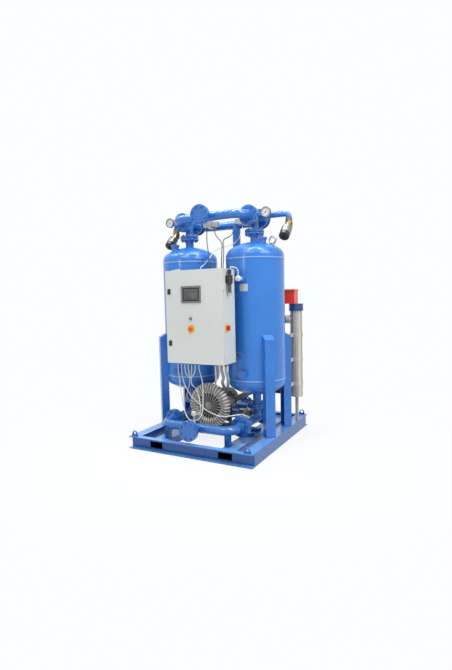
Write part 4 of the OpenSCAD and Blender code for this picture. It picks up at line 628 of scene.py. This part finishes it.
for i, route in enumerate(SIGNAL_ROUTES):
    make_cord(f"signal_cable_{i}", route, SIGNAL_R, "signal_cables", white_plastic)
make_cord("feed_cable", FEED_ROUTE, FEED_R, "signal_cables", white_plastic)
make_cord("air_tube", TUBE_ROUTE, TUBE_R, "signal_cables", white_plastic)
for i, route in enumerate(VALVE_ROUTES):
    make_cord(f"valve_cable_{i}", route, VALVE_R, "valve_cables", black_plastic)
print("cords so far:", len(cords))

# %% [markdown]
# The two motor conduits are corrugated hoses. The corrugation repeats along a path, which is
# what Geometry Nodes are good at: the route becomes a curve, points are spread over it at one
# pitch, and a ring is set square to the path at each of them. The result is kept as a plain
# mesh that goes with its cord.

# %% Corrugation


def geometry_group(name, inputs):
    group = bpy.data.node_groups.new(name, "GeometryNodeTree")
    group.interface.new_socket("Geometry", in_out="INPUT", socket_type="NodeSocketGeometry")
    named = {}
    for label, kind, value in inputs:
        socket = group.interface.new_socket(label, in_out="INPUT", socket_type=kind)
        if value is not None:
            socket.default_value = value
        named[label] = socket.identifier
    group.interface.new_socket("Geometry", in_out="OUTPUT", socket_type="NodeSocketGeometry")
    return group, group.nodes.new("NodeGroupInput"), group.nodes.new("NodeGroupOutput"), named


def chain(group, kind, **links):
    node = group.nodes.new(kind)
    for label, source in links.items():
        set_or_link(group, node.inputs[label.replace("_", " ")], source)
    return node


def grow(name, mesh, group, settings):
    """Runs a geometry tree on a mesh and gives back the result as a plain mesh."""
    seed = bpy.data.objects.new(name + "_seed", mesh)
    scene.collection.objects.link(seed)
    modifier = seed.modifiers.new("grow", "NODES")
    modifier.node_group = group
    for identifier, value in settings.items():
        modifier[identifier] = value
    evaluated = seed.evaluated_get(bpy.context.evaluated_depsgraph_get())
    result = bpy.data.meshes.new_from_object(evaluated)
    bpy.data.objects.remove(seed)
    result.name = name
    return result


def end_tree(group, start, end, instances):
    """Ends a geometry tree: instances become plain mesh, in the material that the input names."""
    real = chain(group, "GeometryNodeRealizeInstances", Geometry=instances)
    dressed = chain(group, "GeometryNodeSetMaterial", Geometry=real.outputs["Geometry"],
                    Material=start.outputs["Material"])
    group.links.new(dressed.outputs["Geometry"], end.inputs["Geometry"])


RIB_PITCH, RIB_RING, RIB_WIRE = 0.008, 0.0145, 0.0018
rib_tree, start, end, rib_in = geometry_group(
    "rings_on_a_path",
    [("Pitch", NUMBER, RIB_PITCH), ("Ring Radius", NUMBER, RIB_RING), ("Wire Radius", NUMBER, RIB_WIRE),
     ("Material", "NodeSocketMaterial", None)],
)
line = chain(rib_tree, "GeometryNodeMeshToCurve", Mesh=start.outputs["Geometry"])
spread = chain(rib_tree, "GeometryNodeCurveToPoints", Curve=line.outputs["Curve"])
spread.mode = "LENGTH"
rib_tree.links.new(start.outputs["Pitch"], spread.inputs["Length"])
hoop = chain(rib_tree, "GeometryNodeCurvePrimitiveCircle", Resolution=20,
             Radius=start.outputs["Ring Radius"])
wire = chain(rib_tree, "GeometryNodeCurvePrimitiveCircle", Resolution=8,
             Radius=start.outputs["Wire Radius"])
ring = chain(rib_tree, "GeometryNodeCurveToMesh", Curve=hoop.outputs["Curve"],
             Profile_Curve=wire.outputs["Curve"])
rings = chain(rib_tree, "GeometryNodeInstanceOnPoints", Points=spread.outputs["Points"],
              Instance=ring.outputs["Mesh"], Rotation=spread.outputs["Rotation"])
end_tree(rib_tree, start, end, rings.outputs["Instances"])


def add_piece(name, mesh, body):
    piece = bpy.data.objects.new(name, mesh)
    scene.collection.objects.link(piece)
    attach(piece, body)
    return piece


for i, route in enumerate(CONDUIT_ROUTES):
    path = rounded(route)
    spine = bpy.data.meshes.new("spine")
    spine.from_pydata(path[1:-1], [(k, k + 1) for k in range(len(path) - 3)], [])
    hoops = grow(f"conduit_ribs_{i}", spine, rib_tree, {
        rib_in["Pitch"]: RIB_PITCH, rib_in["Ring Radius"]: RIB_RING, rib_in["Wire Radius"]: RIB_WIRE,
        rib_in["Material"]: grey_plastic})
    hoops.shade_smooth()
    ribs = add_piece(f"conduit_ribs_{i}", hoops, "frame")
    make_cord(f"motor_conduit_{i}", route, CONDUIT_R, "motor_conduits", grey_plastic)
    print(ribs.name, len(hoops.polygons), "faces")
print("cords:", len(cords))

# %% [markdown]
# ## Door fittings
# Small turned and moulded pieces sit on the cabinet door: a yellow ring behind the stop
# button, two black lock frames and the glass of the operator panel. A turned piece is a
# profile swept round an axis; a moulded frame is a stack of outlines joined by quads.

# %% Mesh helpers


def loops_to_mesh(name, loops, closed):
    """Joins loops of equally many points: closed to a ring, or else with a cap at both ends."""
    work = bmesh.new()
    rows = [[work.verts.new(p) for p in loop] for loop in loops]
    count = len(rows[0])
    pairs = list(zip(rows, rows[1:])) + ([(rows[-1], rows[0])] if closed else [])
    for low, high in pairs:
        for k in range(count):
            n = (k + 1) % count
            work.faces.new((low[k], low[n], high[n], high[k]))
    if not closed:
        work.faces.new(rows[0][::-1])
        work.faces.new(rows[-1])
    bmesh.ops.recalc_face_normals(work, faces=work.faces)
    mesh = bpy.data.meshes.new(name)
    work.to_mesh(mesh)
    work.free()
    return mesh


def front_circle(centre, radius, depth, steps):
    """A circle in mm that faces the front; depth is how far it stands out of the centre's plane."""
    x, y, z = centre
    turns = [2 * math.pi * (k + 0.5) / steps for k in range(steps)]
    return [Vector((x + radius * math.cos(a), y - depth, z + radius * math.sin(a))) * MM for a in turns]


def front_frame(centre, width, height, corner, depth, steps):
    """A rounded rectangle in mm that faces the front; a quarter of the points goes to each corner."""
    x, y, z = centre
    quarter = steps // 4
    points = []
    for side, (sx, sz) in enumerate(((1, 1), (-1, 1), (-1, -1), (1, -1))):
        for k in range(quarter):
            turn = math.pi / 2 * (side + k / (quarter - 1))
            points.append(Vector((x + sx * (width / 2 - corner) + corner * math.cos(turn), y - depth,
                                  z + sz * (height / 2 - corner) + corner * math.sin(turn))) * MM)
    return points


def turned(name, centre, profile, steps):
    """A ring from (radius, depth) pairs; the profile is a closed outline away from the axis."""
    return loops_to_mesh(name, [front_circle(centre, r, d, steps) for r, d in profile], True)


def finish_piece(name, mesh, material, body):
    mesh.shade_smooth()
    mesh.set_sharp_from_angle(angle=math.radians(35))
    dress(add_piece(name, mesh, body), material)


print("mesh helpers ready")

# %% [markdown]
# The ring behind the stop button is a stamped yellow disc with a rolled edge. It stays on the
# door while the button moves, so it rides on the door. It is kept flat near the stem, because
# the pressed button comes within two millimetres of the door.

# %% Stop ring
DOOR_Y = -630.0
BUTTON_X, STOP_Z = 5.0, 1220.0
stop_ring = turned("stop_ring", (BUTTON_X, DOOR_Y, STOP_Z), [
    (12.0, 0.05), (40.0, 0.05), (41.0, 0.6), (41.0, 1.4), (40.2, 2.1), (38.6, 2.4), (36.6, 1.5),
    (26.0, 1.2), (13.0, 1.2), (12.0, 0.9)], 72)
finish_piece("stop_ring", stop_ring, yellow_plastic, "door")
print("ring:", len(stop_ring.polygons), "faces")

# %% [markdown]
# Each lock turns in a moulded frame that is taller than wide, with rounded corners and a
# bevelled rim. The outer outline and the bore have equally many points, so plain quads join
# them.

# %% Lock frames
LOCK_X, LOCK_W, LOCK_H, LOCK_CORNER, LOCK_BEVEL = -239.0, 36.0, 54.0, 6.0, 1.0
LOCK_BORE_R, LOCK_MOUTH_R, LOCK_STEPS = 15.7, 16.4, 64
BACK, SIDE_TOP, MOUTH, FRONT = 0.05, 3.2, 3.8, 4.4  # how far each edge stands out of the door
for label, lock_z in (("upper", 1582.0), ("lower", 1079.0)):
    centre = (LOCK_X, DOOR_Y, lock_z)
    lock_frame = loops_to_mesh(f"{label}_lock_frame", [
        front_circle(centre, LOCK_BORE_R, BACK, LOCK_STEPS),
        front_frame(centre, LOCK_W, LOCK_H, LOCK_CORNER, BACK, LOCK_STEPS),
        front_frame(centre, LOCK_W, LOCK_H, LOCK_CORNER, SIDE_TOP, LOCK_STEPS),
        front_frame(centre, LOCK_W - 2 * LOCK_BEVEL, LOCK_H - 2 * LOCK_BEVEL,
                    LOCK_CORNER - LOCK_BEVEL, FRONT, LOCK_STEPS),
        front_circle(centre, LOCK_MOUTH_R, FRONT, LOCK_STEPS),
        front_circle(centre, LOCK_BORE_R, MOUTH, LOCK_STEPS)], True)
    finish_piece(f"{label}_lock_frame", lock_frame, black_plastic, "door")
print("lock frames: 2")

# %% [markdown]
# The operator panel has a grey frame and a dark glass that lies in its recess. The glass is
# a thin plate with a ground edge; a black border runs round the picture area.

# %% Operator glass
PANEL = (14.0, -635.5, 1550.0)
PICTURE_W, PICTURE_H = 0.0785, 0.0505  # half the picture area, in m
GLASS_LOOPS = (  # width, height, corner radius and depth of each outline, in mm
    (183.0, 126.0, 3.0, 0.05), (183.6, 126.6, 3.0, 0.4), (183.6, 126.6, 3.0, 0.8), (182.4, 125.4, 2.4, 1.2))
GLASS_STEPS = 48


def dark_glass():
    material, tree, shader = new_material("panel_glass")
    x, _, z = split_point(tree)
    across = maths(tree, "ABSOLUTE", maths(tree, "SUBTRACT", x, PANEL[0] * MM))
    along = maths(tree, "ABSOLUTE", maths(tree, "SUBTRACT", z, PANEL[2] * MM))
    inside = maths(tree, "MULTIPLY", ramp(tree, across, PICTURE_W, PICTURE_W + 0.001, 1.0, 0.0),
                   ramp(tree, along, PICTURE_H, PICTURE_H + 0.001, 1.0, 0.0))
    cloudy = ramp(tree, noise(tree, object_point(tree), 30.0), 0.3, 0.7, 0.8, 1.0)
    picture = mix_colour(tree, 1.0, (0.075, 0.078, 0.082), grey(tree, cloudy), "MULTIPLY")
    tree.links.new(mix_colour(tree, inside, (0.008, 0.008, 0.009), picture), shader.inputs["Base Color"])
    tree.links.new(ramp(tree, inside, 0.0, 1.0, 0.12, 0.3), shader.inputs["Roughness"])
    return material


screen = loops_to_mesh("operator_glass", [
    front_frame(PANEL, *loop, GLASS_STEPS) for loop in GLASS_LOOPS], False)
finish_piece("operator_glass", screen, dark_glass(), "door")
print("glass:", len(screen.polygons), "faces")

# %% [markdown]
# ## Dials
# A pressure gauge has a white card behind its pointer. The card is a thin disc; its marks
# repeat round an arc, so a geometry tree sets one small bar for each of them and turns it to
# face the middle. Every fifth mark is longer.

# %% Dial marks
MARKS = {"Count": 31, "Radius": 0.0355, "Length": 0.005, "Width": 0.0011, "Thickness": 0.00006,
         "Sweep": math.radians(270)}
tick_tree, start, end, tick_in = geometry_group(
    "marks_on_an_arc",
    [(label, "NodeSocketInt" if label == "Count" else NUMBER, value) for label, value in MARKS.items()]
    + [("Material", "NodeSocketMaterial", None)],
)


def vector_of(tree, x, y, z):
    node = tree.nodes.new("ShaderNodeCombineXYZ")
    for socket, value in zip(node.inputs, (x, y, z)):
        set_or_link(tree, socket, value)
    return node.outputs["Vector"]


spots = chain(tick_tree, "GeometryNodePoints", Count=start.outputs["Count"])
index = tick_tree.nodes.new("GeometryNodeInputIndex").outputs["Index"]
share = maths(tick_tree, "DIVIDE", index, maths(tick_tree, "SUBTRACT", start.outputs["Count"], 1.0))
turn = maths(tick_tree, "MULTIPLY", maths(tick_tree, "SUBTRACT", share, 0.5), start.outputs["Sweep"])
across, upward = (maths(tick_tree, "MULTIPLY", maths(tick_tree, wave, turn), start.outputs["Radius"])
                  for wave in ("SINE", "COSINE"))
where = vector_of(tick_tree, across, 0.0, upward)
set_out = chain(tick_tree, "GeometryNodeSetPosition", Geometry=spots.outputs[0], Position=where)
bar = chain(tick_tree, "GeometryNodeMeshCube", Size=vector_of(
    tick_tree, start.outputs["Width"], start.outputs["Thickness"], start.outputs["Length"]))
fifth = maths(tick_tree, "LESS_THAN", maths(tick_tree, "MODULO", index, 5.0), 0.5)
longer = vector_of(tick_tree, maths(tick_tree, "ADD", maths(tick_tree, "MULTIPLY", fifth, 0.6), 1.0), 1.0,
                   maths(tick_tree, "ADD", maths(tick_tree, "MULTIPLY", fifth, 0.8), 1.0))
bars = chain(tick_tree, "GeometryNodeInstanceOnPoints", Points=set_out.outputs["Geometry"],
             Instance=bar.outputs["Mesh"], Rotation=vector_of(tick_tree, 0.0, turn, 0.0), Scale=longer)
end_tree(tick_tree, start, end, bars.outputs["Instances"])
print("tree:", tick_tree.name, list(tick_in))

# %% [markdown]
# The two cards are alike, one on each tower. The case has a rim of 5 mm, and the card stops
# just short of it. A small plug closes the case on top.

# %% Dial cards
GAUGE_X, GAUGE_Y, GAUGE_Z = 571.0, -103.0, 2346.0
CARD_PROFILE = ((44.0, 0.02), (44.4, 0.08), (44.0, 0.14))
CARD_STEPS, MARK_LIFT, PLUG_Y, PLUG_RISE, PLUG_STEPS = 64, 0.16, -92.0, 48.5, 32
PLUG_PROFILE = ((5.0, 0.0), (6.2, 0.6), (6.2, 4.6), (5.2, 5.6), (3.2, 5.6), (3.0, 8.6), (2.2, 9.4))
marks = grow("marks", bpy.data.meshes.new("empty"), tick_tree, {
    **{tick_in[label]: value for label, value in MARKS.items()}, tick_in["Material"]: black_plastic})
for label, side in (("left", -1), ("right", 1)):
    centre = (side * GAUGE_X, GAUGE_Y, GAUGE_Z)
    card = loops_to_mesh(f"{label}_dial_card", [
        front_circle(centre, r, d, CARD_STEPS) for r, d in CARD_PROFILE], False)
    finish_piece(f"{label}_dial_card", card, white_plastic, "frame")
    own_marks = marks.copy()
    own_marks.transform(Matrix.Translation(Vector((centre[0], centre[1] - MARK_LIFT, centre[2])) * MM))
    add_piece(f"{label}_dial_marks", own_marks, "frame")
    foot = Vector((centre[0], PLUG_Y, GAUGE_Z + PLUG_RISE))
    plug = loops_to_mesh(f"{label}_gauge_plug", [
        [(foot + Vector((r * math.cos(a), r * math.sin(a), rise))) * MM
         for a in (2 * math.pi * k / PLUG_STEPS for k in range(PLUG_STEPS))]
        for r, rise in PLUG_PROFILE], False)
    finish_piece(f"{label}_gauge_plug", plug, black_plastic, "frame")
print("dials: 2, marks each:", len(marks.polygons) // 6)

# %% [markdown]
# ## Plate on the right tower
# The right tower carries a small plate of pale metal. It is bent to the tower's radius and
# held by four rivets. The plate is a strip of cross-sections set side by side round the
# tower.

# %% Rating plate
PLATE_R, PLATE_T, TOWER_Y, PLATE_STEPS = 300.15, 1.4, 15.0, 18
CORNER_NIPS = {0: 5.0, 1: 1.6, PLATE_STEPS - 1: 1.6, PLATE_STEPS: 5.0}  # rounds the plate's corners
PLATE_FROM, PLATE_TO, PLATE_LOW, PLATE_HIGH = math.radians(-6.6), math.radians(10.1), 1572.0, 1644.0


def on_tower(angle, z, radius):
    return Vector((TOWER_X + radius * math.sin(angle), TOWER_Y - radius * math.cos(angle), z))


sections = []
for k in range(PLATE_STEPS + 1):
    angle = PLATE_FROM + (PLATE_TO - PLATE_FROM) * k / PLATE_STEPS
    nip = CORNER_NIPS.get(k, 0.0)
    low, high = PLATE_LOW + nip, PLATE_HIGH - nip
    sections.append([on_tower(angle, z, r) * MM for z, r in (
        (low, PLATE_R), (high, PLATE_R), (high, PLATE_R + PLATE_T), (low, PLATE_R + PLATE_T))])
pale_metal = coated(
    "pale_metal", (0.72, 0.73, 0.72), rough=(0.34, 0.46), drift=0.06, drift_scale=20.0, metallic=0.5,
    grain=900.0, bump=0.06)
plate = loops_to_mesh("rating_plate", sections, False)
finish_piece("rating_plate", plate, pale_metal, "frame")
print("plate:", len(sections), "sections")

# %% [markdown]
# The rivets repeat, so a geometry tree sets them: one flattened ball on each point that it is
# given, turned so that its flat way looks straight out from the tower's axis.

# %% Plate rivets
RIVET_TURN, RIVET_INSET = 0.018, 6.5  # from the plate's ends in radians, from its long edges in mm
RIVETS = {"Radius": 0.0026, "Flatness": 0.6, "Axis X": TOWER_X * MM, "Axis Y": TOWER_Y * MM}
rivet_tree, start, end, rivet_in = geometry_group(
    "domes_round_an_axis",
    [(label, NUMBER, value) for label, value in RIVETS.items()]
    + [("Material", "NodeSocketMaterial", None)],
)
position = rivet_tree.nodes.new("GeometryNodeInputPosition").outputs["Position"]
parts = chain(rivet_tree, "ShaderNodeSeparateXYZ", Vector=position)
outward = vector_of(rivet_tree, maths(rivet_tree, "SUBTRACT", parts.outputs["X"], start.outputs["Axis X"]),
                    maths(rivet_tree, "SUBTRACT", parts.outputs["Y"], start.outputs["Axis Y"]), 0.0)
facing = chain(rivet_tree, "FunctionNodeAlignRotationToVector", Vector=outward)
facing.axis = "Z"
ball = chain(rivet_tree, "GeometryNodeMeshUVSphere", Segments=20, Rings=10, Radius=start.outputs["Radius"])
domes = chain(rivet_tree, "GeometryNodeInstanceOnPoints", Points=start.outputs["Geometry"],
              Instance=ball.outputs["Mesh"], Rotation=facing.outputs["Rotation"],
              Scale=vector_of(rivet_tree, 1.0, 1.0, start.outputs["Flatness"]))
end_tree(rivet_tree, start, end, domes.outputs["Instances"])
corners = bpy.data.meshes.new("rivet_spots")
corners.from_pydata([on_tower(angle, z, PLATE_R + PLATE_T) * MM
                     for angle in (PLATE_FROM + RIVET_TURN, PLATE_TO - RIVET_TURN)
                     for z in (PLATE_LOW + RIVET_INSET, PLATE_HIGH - RIVET_INSET)], [], [])
rivets = grow("plate_rivets", corners, rivet_tree, {
    **{rivet_in[label]: value for label, value in RIVETS.items()}, rivet_in["Material"]: bare_steel})
rivets.shade_smooth()
add_piece("plate_rivets", rivets, "frame")
print("rivets:", len(corners.vertices))

# %% [markdown]
# ## Floor and light
# A plain pale floor and a white surround keep the colours as they are written. The floor
# shows its shadow near the machine and fades to white further out, so that no horizon cuts
# the picture. Soft strips stand where the hall's ceiling lights would be: they leave the
# small bright marks on the heads of the towers.

# %% Stage
FLOOR_SIZE, FADE_FROM, FADE_TO, NEAR_GLOW = 60, 0.9, 2.6, 0.86
SURROUND = (0.97, 0.985, 1.0, 1)
bpy.ops.mesh.primitive_plane_add(size=FLOOR_SIZE, location=(0, 0, 0))
floor = bpy.context.object
floor.name = "floor"


def looked_at(tree):
    """One for rays that show the surround: to the camera, in a reflection or through glass."""
    ray = tree.nodes.new("ShaderNodeLightPath")
    mirrored = maths(tree, "MAXIMUM", ray.outputs["Is Glossy Ray"], ray.outputs["Is Transmission Ray"])
    return maths(tree, "MAXIMUM", ray.outputs["Is Camera Ray"], mirrored)


def pale_floor():
    material, tree, shader = new_material("pale_floor")
    shader.inputs["Base Color"].default_value = (0.86, 0.88, 0.9, 1)
    shader.inputs["Roughness"].default_value = 0.9
    glow = tree.nodes.new("ShaderNodeEmission")
    glow.inputs["Color"].default_value = SURROUND
    reach = tree.nodes.new("ShaderNodeVectorMath")
    reach.operation = "LENGTH"
    tree.links.new(object_point(tree), reach.inputs[0])
    far = ramp(tree, reach.outputs["Value"], FADE_FROM, FADE_TO, NEAR_GLOW, 1.0, "SMOOTHSTEP")
    blend = tree.nodes.new("ShaderNodeMixShader")
    tree.links.new(maths(tree, "MULTIPLY", far, looked_at(tree)), blend.inputs["Fac"])
    tree.links.new(shader.outputs["BSDF"], blend.inputs[1])
    tree.links.new(glow.outputs["Emission"], blend.inputs[2])
    tree.links.new(blend.outputs["Shader"], tree.nodes["Material Output"].inputs["Surface"])
    return material


dress(floor, pale_floor())
world = bpy.data.worlds.new("studio")
scene.world = world
world.use_nodes = True
sky = world.node_tree
sky_light = sky.nodes["Background"]
sky_light.inputs["Color"].default_value = (0.93, 0.96, 1.0, 1)
sky_light.inputs["Strength"].default_value = 0.36
seen = sky.nodes.new("ShaderNodeBackground")
seen.inputs["Color"].default_value = SURROUND
seen.inputs["Strength"].default_value = 1.0
pick = sky.nodes.new("ShaderNodeMixShader")
sky.links.new(looked_at(sky), pick.inputs["Fac"])
sky.links.new(sky_light.outputs["Background"], pick.inputs[1])
sky.links.new(seen.outputs["Background"], pick.inputs[2])
sky.links.new(pick.outputs["Shader"], sky.nodes["World Output"].inputs["Surface"])
print("floor and surround ready")

# %% [markdown]
# The hall is lit from above and from the right, so the tops of the beams are the brightest
# blue and the front faces the darkest. A wide lamp stands high on the right, a weaker one high
# in front, and three strips hang overhead. A narrow one at the front left leaves the short
# bright mark below each upper seam.

# %% Lamps


def soft_lamp(name, spot, aim, size, power):
    data = bpy.data.lights.new(name, "AREA")
    data.shape = "RECTANGLE"
    data.size, data.size_y = size
    data.energy = power
    lamp = bpy.data.objects.new(name, data)
    scene.collection.objects.link(lamp)
    lamp.location = spot
    lamp.rotation_euler = (Vector(aim) - Vector(spot)).to_track_quat("-Z", "Y").to_euler()


soft_lamp("right", (4.8, -1.8, 4.6), (0, 0, 1.2), (3.0, 2.0), 125)
soft_lamp("front", (0.2, -4.6, 5.4), (0, 0, 1.3), (3.0, 1.4), 85)
for i, x in enumerate((-1.9, 0.0, 1.9)):
    soft_lamp(f"strip_{i}", (x, -0.6, 5.2), (x * 0.5, 0, 1.0), (0.22, 3.4), 85)
soft_lamp("mark", (-1.48, -5.6, 2.35), (0, 0, 1.8), (0.2, 0.7), 12)
scene.view_settings.view_transform = "Standard"
print("lamps:", len(bpy.data.lights))
